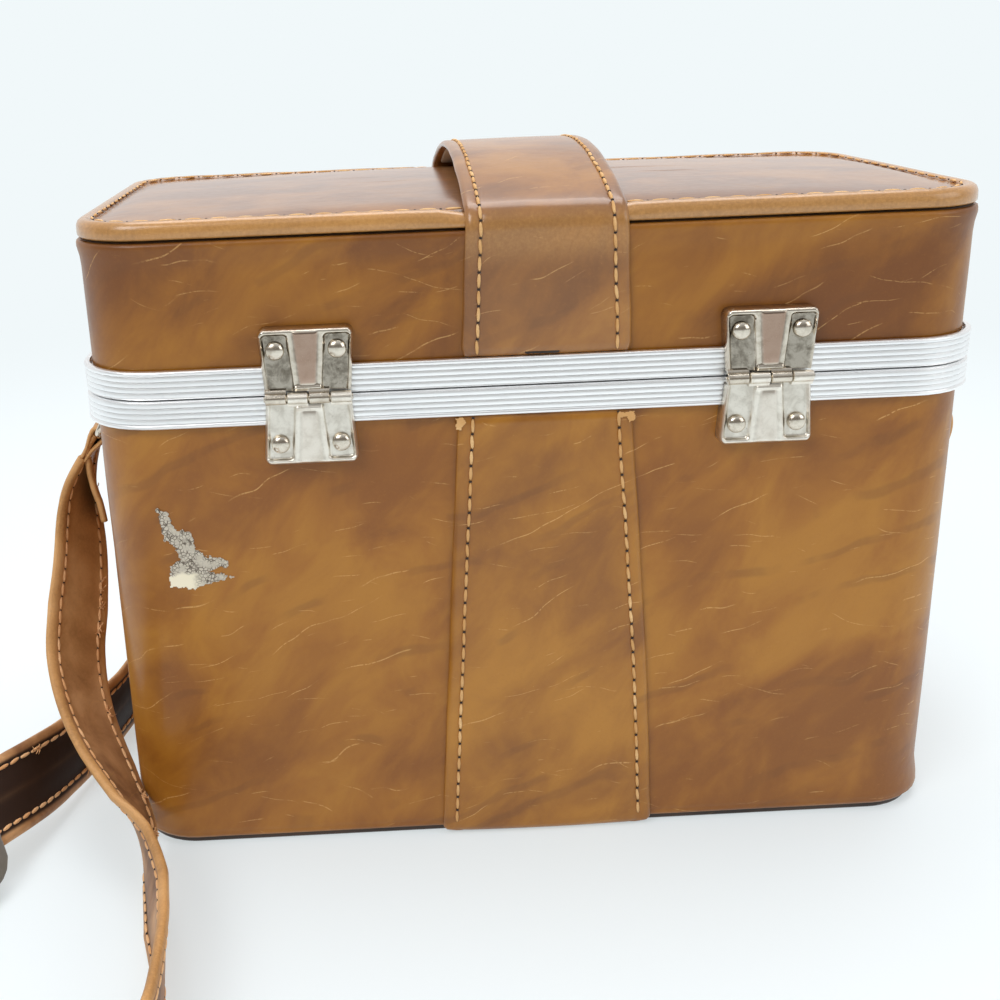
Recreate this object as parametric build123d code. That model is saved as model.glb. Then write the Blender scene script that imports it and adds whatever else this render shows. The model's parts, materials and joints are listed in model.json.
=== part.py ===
from build123d import *
import math
import os

os.makedirs("parts", exist_ok=True)

# Driving dimensions of the case, in millimetres. The hinge side is at -Y, the latch side at +Y.
case_width = 305.0
case_depth = 160.0
corner_radius = 24.0
split_height = 175.0
lid_wall_top = 227.0
case_top = 236.4

# Layers of a wall, from the outside in
cover_thick = 1.0
board_thick = 3.0
lining_thick = 0.8
layer_gap = 0.1
board_inset = cover_thick
lining_inset = board_inset + board_thick + layer_gap
room_inset = lining_inset + lining_thick

# Bottom and its dark joint line under the walls
wall_foot = 2.6
bottom_thick = 2.2
bottom_inset = 1.5
floor_low = 3.0
floor_high = 6.0
floor_pad_high = 10.0

# Two-part ribbed metal frame, called the valance, round the opening
valance_half = 10.0
valance_out = 3.0
rib_count = 5
rib_depth = 0.6
split_gap = 0.2
web_thick = 1.6
flange_inset = room_inset + 0.1
flange_thick = 0.9
flange_length = 12.0

# Crowned top panel with its rolled bead
panel_low = 227.6
bead_height = 6.0
panel_overhang = 0.4
seam_inset = 5.5
crown_drop_y = 2.8
crown_drop_x = 2.2

# Sewn strip that runs over the lid as the handle, and down both walls of the base
strip_centre = 3.0
strip_thick = 2.2
strip_gap = 0.1
lid_strip_top_width = 53.0
lid_strip_low_width = 57.5
base_strip_top_width = 59.5
base_strip_mid_width = 70.0
base_strip_foot_width = 80.0
strip_foot = 1.0
bead_turn_radius = 5.2
handle_rise_angle = 20.5
handle_lining_thick = 1.3
handle_lining_reach = 66.0
slit_width = 11.2
slit_height = 1.2

# Hardware places
hardware_x = 77.0
wall_y = case_depth / 2
wall_x = case_width / 2

# Stop hinge
hinge_out = 6.5
knuckle_radius = 2.0
pin_radius = 0.9
pin_clearance = 0.05
leaf_end = 22.5
leaf_start = 2.3
leaf_end_half_width = 16.0
leaf_waist_half_width = 14.4
leaf_face_out = 6.4
sheet_thick = 1.2
rivet_x = 10.2
rivet_z = 16.0
rivet_head_radius = 3.1
rivet_head_height = 1.4
rivet_shank_radius = 1.5

# Latch on the front
latch_case_low = 147.0
latch_case_high = 173.6
latch_half_width = 17.0
latch_out = 8.0
latch_plate_out = 6.4
latch_plate_low = 176.6
latch_plate_high = 197.0
latch_rivet_x = 12.6
hasp_axis_z = 193.0
hasp_axis_out = 8.9
hasp_knuckle_radius = 1.9
hasp_foot = 157.0
hasp_half_width = 9.0
hasp_thick = 1.4
thumb_z = 152.0
slide_travel = 6.0

# Side rings and the shoulder strap
ring_wire_radius = 1.5
ring_half_width = 16.5
ring_drop = 15.0
ring_bend = 4.0
ring_tilt_left = 30.0
ring_tilt_right = 45.0
ring_axis_out = 3.3
ring_axis_z = 157.0
strap_width = 30.0
strap_thick = 3.5
strap_fold_thick = 2.0
end_gap = 0.3

# Partitions in the base
divider_top = 96.0
divider_thick = 4.0
cross_divider_x = 50.0
long_divider_y = 8.0

# Route of the shoulder strap's middle line, from the left ring to the right ring
strap_route = [
    (-167.0, 0.0, 129.2),
    (-170.6, 0.0, 114.7),
    (-175.0, -8.0, 93.0),
    (-178.5, -18.0, 73.0),
    (-178.0, -33.0, 54.5),
    (-173.0, -49.0, 42.0),
    (-163.0, -67.0, 30.5),
    (-151.5, -84.0, 20.5),
    (-144.0, -104.0, 16.0),
    (-142.5, -132.0, 15.3),
    (-143.0, -170.0, 15.3),
    (-146.0, -212.0, 15.3),
    (-168.0, -243.0, 15.3),
    (-205.0, -254.0, 15.3),
    (-241.0, -244.0, 15.3),
    (-265.0, -214.0, 24.5),
    (-264.0, -176.0, 24.5),
    (-236.0, -131.0, 23.7),
    (-203.0, -84.0, 24.0),
    (-186.0, -45.0, 17.5),
    (-169.5, 4.0, 15.3),
    (-163.0, 56.0, 15.3),
    (-147.0, 100.0, 15.3),
    (-104.0, 116.0, 15.3),
    (-40.0, 111.0, 15.3),
    (50.0, 115.0, 15.3),
    (118.0, 112.0, 15.6),
    (159.0, 92.0, 25.0),
    (180.0, 56.0, 50.0),
    (184.0, 24.0, 80.0),
    (185.5, 4.0, 106.0),
    (184.0, 0.0, 125.5),
    (174.4, 0.0, 136.9),
]

# Way the strap's width lies at each point of the route
strap_lay = [
    (0.0, 1.0, 0.0),
    (0.15, 0.98, -0.05),
    (0.6, 0.78, -0.2),
    (0.77, 0.57, -0.3),
    (0.68, 0.7, -0.3),
    (0.45, 0.82, -0.38),
    (0.25, 0.75, -0.6),
    (0.0, 0.5, -0.86),
    (-0.38, 0.15, -0.92),
    (-0.28, 0.0, -0.96),
    (-0.1, 0.0, -1.0),
    (0.0, 0.0, -1.0),
    (0.0, 0.0, -1.0),
    (0.0, 0.0, -1.0),
    (0.0, 0.0, -1.0),
    (0.5, -0.1, -0.85),
    (0.65, -0.3, -0.7),
    (0.62, -0.42, -0.66),
    (0.6, -0.4, -0.7),
    (0.2, -0.1, -0.97),
    (0.0, 0.0, -1.0),
    (0.0, 0.0, -1.0),
    (0.0, 0.0, -1.0),
    (0.0, 0.0, -1.0),
    (0.0, 0.0, -1.0),
    (0.0, 0.0, -1.0),
    (0.0, 0.0, -1.0),
    (0.0, -0.3, -0.95),
    (0.0, -0.7, -0.7),
    (0.0, -0.9, -0.4),
    (0.0, -1.0, -0.15),
    (0.0, -1.0, 0.0),
    (0.0, -1.0, 0.0),
]

# Shoulder pad, round the strap between these places along the route
pad_from = 15.5
pad_to = 18.2
pad_width = 54.0
pad_thick = 8.0


def slab(inset, low, high):
    """The case's rounded plan, drawn in by inset, between two heights."""
    outline = RectangleRounded(case_width - 2 * inset, case_depth - 2 * inset, corner_radius - inset)
    return Pos(0, 0, low) * extrude(outline, high - low)


def ring(outer, inner, low, high):
    """A wall that follows the plan between two insets and two heights."""
    return slab(outer, low, high) - slab(inner, low, high)


def block(x_low, x_high, y_low, y_high, z_low, z_high):
    """A box between limits."""
    centre = Pos((x_low + x_high) / 2, (y_low + y_high) / 2, (z_low + z_high) / 2)
    return centre * Box(x_high - x_low, y_high - y_low, z_high - z_low)


def rod_x(radius, x_low, x_high, y, z):
    """A round rod along X."""
    return Pos((x_low + x_high) / 2, y, z) * Rot(0, 90, 0) * Cylinder(radius, x_high - x_low)


def rod_y(radius, x, y_low, y_high, z):
    """A round rod along Y."""
    return Pos(x, (y_low + y_high) / 2, z) * Rot(90, 0, 0) * Cylinder(radius, y_high - y_low)


def outline_xz(points, y_low, y_high):
    """A flat outline in X and Z, carried through from y_low to y_high."""
    face = make_face(Plane.XZ * Polyline(*points, close=True))
    return Pos(0, y_high, 0) * extrude(face, y_high - y_low, dir=(0, -1, 0))


def save(name, *shapes):
    """Writes one node."""
    solids = [s for shape in shapes for s in shape.solids()]
    export_step(solids[0] if len(solids) == 1 else Compound(children=solids), f"parts/{name}.step")


# Rivets


def rivet(x, side, face_out, z, inner_out):
    """A domed rivet through a wall: side is -1 at the hinge wall and 1 at the latch wall."""
    face = wall_y + face_out
    inner = wall_y + inner_out
    head = rivet_head_radius
    shank = rivet_shank_radius
    dome_radius = (head**2 + rivet_head_height**2) / (2 * rivet_head_height)
    half_sweep = math.asin(head / dome_radius) / 2
    top = face + rivet_head_height
    middle = (dome_radius * math.sin(half_sweep), top - dome_radius + dome_radius * math.cos(half_sweep))
    profile = Polyline((0, top), (0, inner - 0.8), (head, inner - 0.8), (head, inner), (shank, inner))
    profile += Polyline((shank, inner), (shank, face), (head, face))
    profile += ThreePointArc((head, face), middle, (0, top))
    made = revolve(make_face(profile), Axis.Y)
    if side < 0:
        made = Rot(0, 0, 180) * made
    return Pos(x, 0, z) * made


def rivet_pairs(side, face_out, height):
    """Four rivets: a pair on each of the two pieces of hardware on one wall."""
    places = [centre + offset for centre in (-hardware_x, hardware_x) for offset in (-rivet_x, rivet_x)]
    return [rivet(x, side, face_out, height, -room_inset) for x in places]


hinge_lid_rivets = rivet_pairs(-1, leaf_face_out, split_height + rivet_z)
hinge_base_rivets = rivet_pairs(-1, leaf_face_out, split_height - rivet_z)


def latch_rivets(face_out, height):
    """Four rivets through the latch wall, wider apart than at the hinges."""
    places = [c + offset for c in (-hardware_x, hardware_x) for offset in (-latch_rivet_x, latch_rivet_x)]
    return [rivet(x, 1, face_out, height, -room_inset) for x in places]


latch_lid_rivets = latch_rivets(latch_plate_out, split_height + rivet_z)
latch_base_rivets = latch_rivets(latch_out, split_height - rivet_z)


def side_rivets(sign):
    """Two rivets that hold a ring plate to a side wall."""
    made = []
    for y in (-12.0, 12.0):
        turned = rivet(0, 1, 1.3, 143.0, -room_inset)
        made.append(Rot(0, 0, -90 * sign) * Pos(y, wall_x - wall_y, 0) * turned)
    return made


left_plate_rivets = side_rivets(-1)
right_plate_rivets = side_rivets(1)
lid_rivets = hinge_lid_rivets + latch_lid_rivets
base_rivets = hinge_base_rivets + latch_base_rivets + left_plate_rivets + right_plate_rivets


def drilled(shape, rivets):
    """A layer with its rivet holes."""
    for one in rivets:
        shape -= one
    return shape


# Base shell
wall_top = split_height - split_gap - web_thick - layer_gap
save("base_wall", drilled(ring(board_inset, board_inset + board_thick, wall_foot, wall_top), base_rivets))
save("base_cover", drilled(ring(0, cover_thick, wall_foot, wall_top), base_rivets))
save("base_floor", slab(lining_inset, floor_low, floor_high))
bottom = slab(bottom_inset, 0, bottom_thick)
bottom = fillet(bottom.edges().filter_by(Axis.Z, reverse=True).group_by(Axis.Z)[0], 0.9)
save("bottom_panel", bottom + slab(12, bottom_thick, floor_low))
lining = ring(lining_inset, room_inset, floor_high, wall_top)
save("base_lining", drilled(lining, base_rivets))
save("floor_pad", slab(room_inset + 0.2, floor_high, floor_pad_high))

# Felt-covered partitions that make three compartments
room_y = wall_y - room_inset - 0.2
room_x = wall_x - room_inset - 0.2
cross_low = cross_divider_x - divider_thick / 2
cross = block(cross_low, cross_low + divider_thick, -room_y, room_y, floor_pad_high, divider_top)
save("cross_divider", cross)
long_low = long_divider_y - divider_thick / 2
save("long_divider", block(-room_x, cross_low, long_low, long_low + divider_thick, floor_pad_high, divider_top))


# Valance halves
def valance(low, web_low, flange_low):
    """One half of the ribbed frame: skirt, ribs, web over the board's edge and inner flange."""
    made = ring(rib_depth - valance_out, -0.05, low, low + valance_half - split_gap)
    rib_pitch = (valance_half - split_gap) / rib_count
    for n in range(rib_count):
        rib_low = low + n * rib_pitch + 0.3
        made += ring(-valance_out, -valance_out + rib_depth + 0.2, rib_low, rib_low + rib_pitch - 0.6)
    made += ring(rib_depth - valance_out, flange_inset + flange_thick, web_low, web_low + web_thick)
    made += ring(flange_inset, flange_inset + flange_thick, flange_low, flange_low + flange_length)
    return made


base_web = split_height - split_gap - web_thick
save("base_valance", valance(split_height - valance_half, base_web, split_height - split_gap - flange_length))
lid_web = split_height + split_gap
save("lid_valance", valance(lid_web, lid_web, lid_web))

# Lid shell
lid_foot = split_height + split_gap + web_thick + layer_gap
save("lid_wall", drilled(ring(board_inset, board_inset + board_thick, lid_foot, lid_wall_top - 0.4), lid_rivets))
save("lid_cover", drilled(ring(0, cover_thick, lid_foot, lid_wall_top), lid_rivets))
lid_board_low = lid_wall_top - 4.4
save("lid_top_board", slab(lining_inset, lid_board_low, panel_low))
lid_lining = slab(lining_inset, lid_foot, lid_board_low) - slab(room_inset, lid_foot, lid_board_low - lining_thick)
save("lid_lining", drilled(lid_lining, lid_rivets))


# Handle strip over the lid
turn_height = panel_low + 2.4
strip_out = wall_y + strip_gap + strip_thick
rise = math.radians(handle_rise_angle)
arch_start_y = strip_out - bead_turn_radius + bead_turn_radius * math.sin(rise)
arch_start_z = turn_height + bead_turn_radius * math.cos(rise)
arch_radius = arch_start_y / math.sin(rise)
arch_centre_z = arch_start_z - arch_radius * math.cos(rise)


def strip_region(inward):
    """The space under the strip's outer face, drawn in by inward, seen from the side."""
    edge_y = strip_out - inward
    turn = bead_turn_radius - inward
    turn_y = strip_out - bead_turn_radius
    crest = arch_radius - inward
    foot = split_height + valance_half + 0.2
    half_turn = math.radians((90 + handle_rise_angle + 180) / 2)
    turn_mid = (turn_y - turn * math.cos(half_turn), turn_height + turn * math.sin(half_turn))
    turn_end = (turn_y + turn * math.sin(rise), turn_height + turn * math.cos(rise))
    edges = Line((-edge_y, foot), (-edge_y, turn_height))
    edges += ThreePointArc((-edge_y, turn_height), (-turn_mid[0], turn_mid[1]), (-turn_end[0], turn_end[1]))
    edges += ThreePointArc((-turn_end[0], turn_end[1]), (0, arch_centre_z + crest), turn_end)
    edges += ThreePointArc(turn_end, turn_mid, (edge_y, turn_height))
    edges += Line((edge_y, turn_height), (edge_y, foot))
    edges += Line((edge_y, foot), (-edge_y, foot))
    return make_face(Plane.YZ * edges)


def strip_layer(outer, inner):
    """A layer of the strip between two depths below its outer face."""
    reach = 60
    return extrude(strip_region(outer) - strip_region(inner), reach, dir=(1, 0, 0), both=True)


def strip_outline(levels):
    """Mirror-sided outline of a strip from (height, width) pairs, lowest first."""
    right = [(strip_centre + width / 2, height) for height, width in levels]
    left = [(strip_centre - width / 2, height) for height, width in reversed(levels)]
    return outline_xz(right + left, -100, 100)


lid_levels = [(180, lid_strip_low_width), (230, lid_strip_top_width), (260, lid_strip_top_width)]
handle = strip_layer(0, strip_thick) & strip_outline(lid_levels)
slit_z = split_height + valance_half + 1.0
slit_x = strip_centre - 1.7
handle -= block(slit_x - slit_width / 2, slit_x + slit_width / 2, -90, -75, slit_z, slit_z + slit_height)
save("handle_strip", handle)
under = strip_layer(strip_thick, strip_thick + handle_lining_thick)
reach_box = block(-60, 60, -handle_lining_reach, handle_lining_reach, 200, 260)
lining_levels = [(200, lid_strip_top_width - 5), (260, lid_strip_top_width - 5)]
save("handle_lining", under & reach_box & strip_outline(lining_levels))


# Crowned top panel
def top_panel():
    """Padded panel: rolled bead at the rim, seam groove, crown in the middle, pressed in under the strip."""
    bead = slab(-panel_overhang, panel_low, panel_low + bead_height)
    rims = bead.edges().filter_by(Axis.Z, reverse=True)
    bead = fillet(rims, 2.6)
    half_y = wall_y - seam_inset
    half_x = wall_x - seam_inset
    radius_y = (half_y**2 + crown_drop_y**2) / (2 * crown_drop_y)
    radius_x = (half_x**2 + crown_drop_x**2) / (2 * crown_drop_x)
    crown = slab(seam_inset, panel_low + 1, case_top)
    crown &= rod_x(radius_y, -wall_x, wall_x, 0, case_top - radius_y)
    crown &= rod_y(radius_x, 0, -wall_y, wall_y, case_top - radius_x)
    groove = ring(seam_inset - 0.6, seam_inset + 0.6, panel_low + bead_height - 0.8, case_top)
    made = bead + crown - groove
    return made - handle


save("top_panel", top_panel())


# Strips on the base
def base_strip(side):
    """A strip that widens to the foot, on the hinge wall or the latch wall."""
    levels = [
        (strip_foot, base_strip_foot_width),
        (82.0, base_strip_mid_width),
        (split_height - valance_half - 0.2, base_strip_top_width),
    ]
    ends = sorted((side * (wall_y + strip_gap), side * (wall_y + strip_gap + strip_thick)))
    return strip_outline(levels) & block(-60, 60, ends[0], ends[1], 0, 170)


save("back_strip", base_strip(-1))
save("front_strip", base_strip(1))


# Stop hinges
def leaf_tray():
    """The stamped leaf of the lid side of one hinge, at x = 0: a waisted tray with a raised middle."""
    low = split_height + leaf_start
    high = split_height + leaf_end
    corner = 3.0
    half = leaf_end_half_width
    waist = leaf_waist_half_width
    points = [(waist, low), (half, high - corner), (half - corner, high)]
    points += [(-half + corner, high), (-half, high - corner), (-waist, low)]
    back = -wall_y - 0.05
    face = -wall_y - leaf_face_out
    tray = outline_xz(points, face, back)
    inner = [(x * (1 - sheet_thick / half), max(low - 1, z - sheet_thick)) for x, z in points]
    inner[0] = (inner[0][0], low - 1)
    inner[-1] = (inner[-1][0], low - 1)
    tray -= outline_xz(inner, face + sheet_thick, back + 1)
    tray -= block(-20, 20, -wall_y - valance_out - 0.1, -wall_y + 1, low - 2, split_height + valance_half + 0.1)
    raised = [(4.2, low + 2), (5.8, high - 1.6), (-5.8, high - 1.6), (-4.2, low + 2)]
    return tray + outline_xz(raised, face - 0.9, face + 0.2)


def knuckled(tray, spans, lid_side):
    """A leaf with its knuckles bored for the pin."""
    y = -wall_y - hinge_out
    made = tray
    for x_low, x_high in spans:
        made += rod_x(knuckle_radius, x_low, x_high, y, split_height)
        limits = (split_height + 0.6, split_height + leaf_start + 0.3)
        if not lid_side:
            limits = (split_height - leaf_start - 0.3, split_height - 0.6)
        made += block(x_low, x_high, -wall_y - leaf_face_out, -wall_y - leaf_face_out + 1.2, *limits)
    return made - rod_x(pin_radius + pin_clearance, -20, 20, y, split_height)


knuckle_edge = leaf_waist_half_width
knuckle_step = knuckle_edge / 2
upper_spans = [(-knuckle_edge, -knuckle_step - 0.15), (0.15, knuckle_step - 0.15)]
lower_spans = [(-knuckle_step + 0.15, -0.15), (knuckle_step + 0.15, knuckle_edge)]
lid_leaf = knuckled(leaf_tray(), upper_spans, True)
flipped = Pos(0, 0, 2 * split_height) * mirror(leaf_tray(), about=Plane.XY)
base_leaf = knuckled(flipped, lower_spans, False)
pin = rod_x(pin_radius, -knuckle_edge - 0.4, knuckle_edge + 0.4, -wall_y - hinge_out, split_height)
for side_name, x in (("left", -hardware_x), ("right", hardware_x)):
    save(f"hinge_{side_name}_lid_leaf", drilled(Pos(x, 0, 0) * lid_leaf, hinge_lid_rivets))
    save(f"hinge_{side_name}_base_leaf", drilled(Pos(x, 0, 0) * base_leaf, hinge_base_rivets))
    save(f"hinge_{side_name}_pin", Pos(x, 0, 0) * pin)
save("hinge_lid_rivets", *hinge_lid_rivets)
save("hinge_base_rivets", *hinge_base_rivets)
save("latch_lid_rivets", *latch_lid_rivets)
save("latch_base_rivets", *latch_base_rivets)
save("ring_plate_rivets", *left_plate_rivets, *right_plate_rivets)


# Latches
def latch_case():
    """The hollow lower half of a latch, with a slot for the hasp's staple and one for the thumb slide."""
    back = wall_y + 0.05
    front = wall_y + latch_out
    half = latch_half_width
    made = block(-half, half, back, front, latch_case_low, latch_case_high)
    made = fillet(made.edges().filter_by(Axis.Y), 2.0)
    wall = 1.4
    made -= block(wall - half, half - wall, back - 1, front - wall, latch_case_low + wall, latch_case_high - wall)
    made -= block(-half - 1, half + 1, back - 1, wall_y + valance_out + 0.1, split_height - valance_half - 0.2, 180)
    made -= block(-2.8, 2.8, wall_y + valance_out, front + 1, 161.5, 180)
    slot_half = 2.1
    made -= block(-4.0, 4.0 + slide_travel, front - 2, front + 1, thumb_z - slot_half, thumb_z + slot_half)
    return made


def latch_slide():
    """Thumb button, its neck, the plate behind the case's front and the arm with the catch nose."""
    front = wall_y + latch_out
    knob = block(-5.5, 5.5, front + 0.3, front + 3.0, thumb_z - 4.0, thumb_z + 4.0)
    knob = fillet(knob.edges().filter_by(Axis.Y), 1.6)
    neck = block(-3.6, 3.6, front - 2.0, front + 0.6, thumb_z - 1.8, thumb_z + 1.8)
    plate = block(-7.0, 7.0, front - 3.6, front - 1.7, thumb_z - 3.4, thumb_z + 3.4)
    arm = block(1.9, 4.6, front - 3.6, front - 1.7, thumb_z + 2, 168.5)
    nose = rod_x(0.9, 1.3, 2.5, front - 2.6, 167.0)
    return knob + neck + plate + arm + nose


def latch_spring():
    """Bowed leaf spring between the slide's plate and the side of the case."""
    low_y = wall_y + latch_out - 3.4
    middle = thumb_z + 0.7
    outer = ThreePointArc((7.1, middle + 0.8), (15.3, middle), (7.1, middle - 0.8))
    inner = ThreePointArc((7.1, middle - 0.5), (15.0, middle), (7.1, middle + 0.5))
    ends = Line((7.1, middle - 0.8), (7.1, middle - 0.5)) + Line((7.1, middle + 0.5), (7.1, middle + 0.8))
    leaf = make_face(Plane.XZ * (outer + ends + inner))
    return Pos(0, low_y + 1.6, 0) * extrude(leaf, 1.6, dir=(0, -1, 0))


def latch_plate():
    """The upper half of a latch on the lid: a tray that carries the hasp's two outer knuckles."""
    back = wall_y + 0.05
    face = wall_y + latch_plate_out
    half = latch_half_width
    made = block(-half, half, back, face, latch_plate_low, latch_plate_high)
    made = fillet(made.edges().filter_by(Axis.Y), 2.0)
    wall = 1.4
    made -= block(wall - half, half - wall, back - 1, face - wall, latch_plate_low - 2, latch_plate_high - wall)
    made -= block(-half - 1, half + 1, back - 1, wall_y + valance_out + 0.1, 170, split_height + valance_half + 0.2)
    axis_y = wall_y + hasp_axis_out
    for x_low, x_high in ((-8.8, -4.3), (4.3, 8.8)):
        made += rod_x(hasp_knuckle_radius, x_low, x_high, axis_y, hasp_axis_z)
        made += block(x_low, x_high, face - 1, axis_y, hasp_axis_z - 1.2, hasp_axis_z + 1.2)
    return made - rod_x(pin_radius + pin_clearance, -10, 10, axis_y, hasp_axis_z)


def latch_hasp():
    """The flap that hangs over the latch case, with its knuckle and its staple."""
    axis_y = wall_y + hasp_axis_out
    inner = wall_y + latch_out + 0.3
    half = hasp_half_width
    points = [(-half, 187.0), (half, 187.0), (half, 163.0), (5.5, hasp_foot), (-5.5, hasp_foot), (-half, 163.0)]
    made = outline_xz(points, inner, inner + hasp_thick)
    made = made - block(-20, 20, axis_y - 5, axis_y + 5, hasp_axis_z - 2.6, hasp_axis_z + 5)
    made += block(-4.0, 4.0, inner, inner + hasp_thick, 180, hasp_axis_z - 0.6)
    made += rod_x(hasp_knuckle_radius, -4.0, 4.0, axis_y, hasp_axis_z)
    made += block(-0.9, 0.9, wall_y + 3.6, inner + 0.4, 164.0, 170.0)
    made -= rod_x(1.0, -2, 2, wall_y + latch_out - 2.6, 167.0)
    made += Pos(0, inner + hasp_thick, hasp_foot + 3.4) * Rot(90, 0, 0) * Cylinder(2.6, 1.2)
    return made - rod_x(pin_radius + pin_clearance, -10, 10, axis_y, hasp_axis_z)


case_half = latch_case()
slide = latch_slide()
spring = latch_spring()
plate = latch_plate()
hasp = latch_hasp()
hasp_pin = rod_x(pin_radius, -9.1, 9.1, wall_y + hasp_axis_out, hasp_axis_z)
for side_name, x in (("left", -hardware_x), ("right", hardware_x)):
    place = Pos(x, 0, 0)

    def handed(shape):
        """The left latch releases to the left, so it is the mirror image of the right one."""
        return place * (mirror(shape, about=Plane.YZ) if side_name == "left" else shape)

    save(f"latch_{side_name}_case", drilled(handed(case_half), latch_base_rivets))
    save(f"latch_{side_name}_slide", handed(slide))
    save(f"latch_{side_name}_spring", handed(spring))
    save(f"latch_{side_name}_plate", drilled(handed(plate), latch_lid_rivets))
    save(f"latch_{side_name}_hasp", handed(hasp))
    save(f"latch_{side_name}_pin", handed(hasp_pin))


# Side rings
def ring_plate():
    """Riveted plate with the round sleeve that the right ring turns in."""
    base = block(wall_x + 0.05, wall_x + 1.3, -17, 17, 138, 161.5)
    base = fillet(base.edges().filter_by(Axis.X), 3.0)
    axis_x = wall_x + ring_axis_out
    base += rod_y(2.9, axis_x, -9, 9, ring_axis_z)
    base += block(wall_x + 0.2, axis_x, -9, 9, ring_axis_z - 2.4, ring_axis_z + 2.4)
    return base - rod_y(ring_wire_radius + 0.08, axis_x, -20, 20, ring_axis_z)


def side_ring(tilt):
    """Rectangular wire ring, hung from its upper bar and leaning out by tilt degrees."""
    path = RectangleRounded(2 * ring_half_width, ring_drop, ring_bend).wire()
    section = Plane(origin=path @ 0, z_dir=path % 0) * Circle(ring_wire_radius)
    upright = Rot(0, 0, 90) * Rot(90, 0, 0) * sweep(section, path=path)
    hung = Pos(0, 0, -ring_drop / 2) * upright
    return Pos(wall_x + ring_axis_out, 0, ring_axis_z) * Rot(0, -tilt, 0) * hung


def strap_end(tilt, target):
    """The strap's end, folded round the right ring's lower bar, with its doubled tail towards target."""
    lean = math.radians(tilt)
    bar_x = wall_x + ring_axis_out + ring_drop * math.sin(lean)
    bar_z = ring_axis_z - ring_drop * math.cos(lean)
    tail = math.hypot(target[0] - bar_x, target[2] - bar_z) - end_gap
    turn = math.degrees(math.atan2(target[0] - bar_x, bar_z - target[2]))
    fold = rod_y(ring_wire_radius + strap_fold_thick, bar_x, -strap_width / 2, strap_width / 2, bar_z)
    made = fold + Pos(bar_x, 0, bar_z) * Rot(0, -turn, 0) * Pos(0, 0, -tail / 2) * Box(strap_thick, strap_width, tail)
    return made - rod_y(ring_wire_radius + 0.08, bar_x, -30, 30, bar_z)


plate_right = ring_plate()
save("ring_plate_right", drilled(plate_right, right_plate_rivets))
save("ring_plate_left", drilled(mirror(plate_right, about=Plane.YZ), left_plate_rivets))
save("ring_right", side_ring(ring_tilt_right))
save("ring_left", mirror(side_ring(ring_tilt_left), about=Plane.YZ))
left_start = (-strap_route[0][0], strap_route[0][1], strap_route[0][2])
save("strap_end_left", mirror(strap_end(ring_tilt_left, left_start), about=Plane.YZ))
save("strap_end_right", strap_end(ring_tilt_right, strap_route[-1]))


# Shoulder strap
def rounded_route(points):
    """Stations along straight runs joined by tangent arcs: place, direction and place along the route."""
    stations = []
    radii = []
    lengths = [(Vector(*b) - Vector(*a)).length for a, b in zip(points, points[1:])]
    first = (Vector(*points[1]) - Vector(*points[0])).normalized()
    stations.append((Vector(*points[0]), first, 0.0))
    for n in range(1, len(points) - 1):
        corner = Vector(*points[n])
        came = (corner - Vector(*points[n - 1])).normalized()
        leaves = (Vector(*points[n + 1]) - corner).normalized()
        turn = math.radians(came.get_angle(leaves))
        cut = 0.45 * min(lengths[n - 1], lengths[n])
        radius = cut / math.tan(turn / 2)
        radii.append(round(radius, 1))
        inward = (leaves - came).normalized()
        centre = corner + inward * (radius / math.cos(turn / 2))
        for share in (0.0, 0.5, 1.0):
            angle = turn * share
            normal = came.cross(leaves).normalized()
            heading = came * math.cos(angle) + normal.cross(came) * math.sin(angle)
            spoke = (corner - came * cut - centre)
            place = centre + spoke * math.cos(angle) + normal.cross(spoke) * math.sin(angle)
            along = n + (share - 0.5) * 0.9
            stations.append((place, heading, along))
    last = (Vector(*points[-1]) - Vector(*points[-2])).normalized()
    stations.append((Vector(*points[-1]), last, float(len(points) - 1)))
    return stations, radii


def lay_at(along):
    """The strap's width direction at a place along the route."""
    low = min(int(along), len(strap_lay) - 2)
    share = along - low
    return Vector(*strap_lay[low]) * (1 - share) + Vector(*strap_lay[low + 1]) * share


def section_at(station, outline):
    """A flat outline set square to the route, its width along the strap's width there."""
    place, heading, along = station
    lay = lay_at(along)
    lay = (lay - heading * lay.dot(heading)).normalized()
    return (Plane(origin=place, x_dir=lay, z_dir=heading) * outline).face()


def ribbon(stations, outline):
    """A flat band along the route: two ruled lofts through its cross-sections, joined in the middle."""
    sections = [section_at(station, outline) for station in stations]
    half = len(sections) // 2
    return loft(sections[: half + 1], ruled=True) + loft(sections[half:], ruled=True)


route_stations, route_radii = rounded_route(strap_route)
strap = ribbon(route_stations, Rectangle(strap_width, strap_thick))
strap_length = sum((b[0] - a[0]).length for a, b in zip(route_stations, route_stations[1:]))
print("strap bend radii", route_radii)
print("strap length", round(strap_length, 1), "volume", round(strap.volume, 0))
print("section times length", round(strap_length * strap_width * strap_thick, 0))
save("shoulder_strap", strap)
pad_stations = [station for station in route_stations if pad_from < station[2] < pad_to]
save("shoulder_pad", ribbon(pad_stations, RectangleRounded(pad_width, pad_thick, pad_thick * 0.45)) - strap)
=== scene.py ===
# %% [markdown]
# # A vinyl-covered camera case
#
# This notebook dresses a rigid frame, which comes from a CAD model, as a worn camera case: a board
# box covered in brown vinyl, with a crowned lid, a ribbed aluminium frame round the opening, two
# nickel stop hinges, a sewn strip that turns into the handle, and a shoulder strap on two side rings.
# The hinge wall faces the camera. Everything is in the frame's own place, so nothing is fitted by eye.

# %% Load the frame
import math

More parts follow.
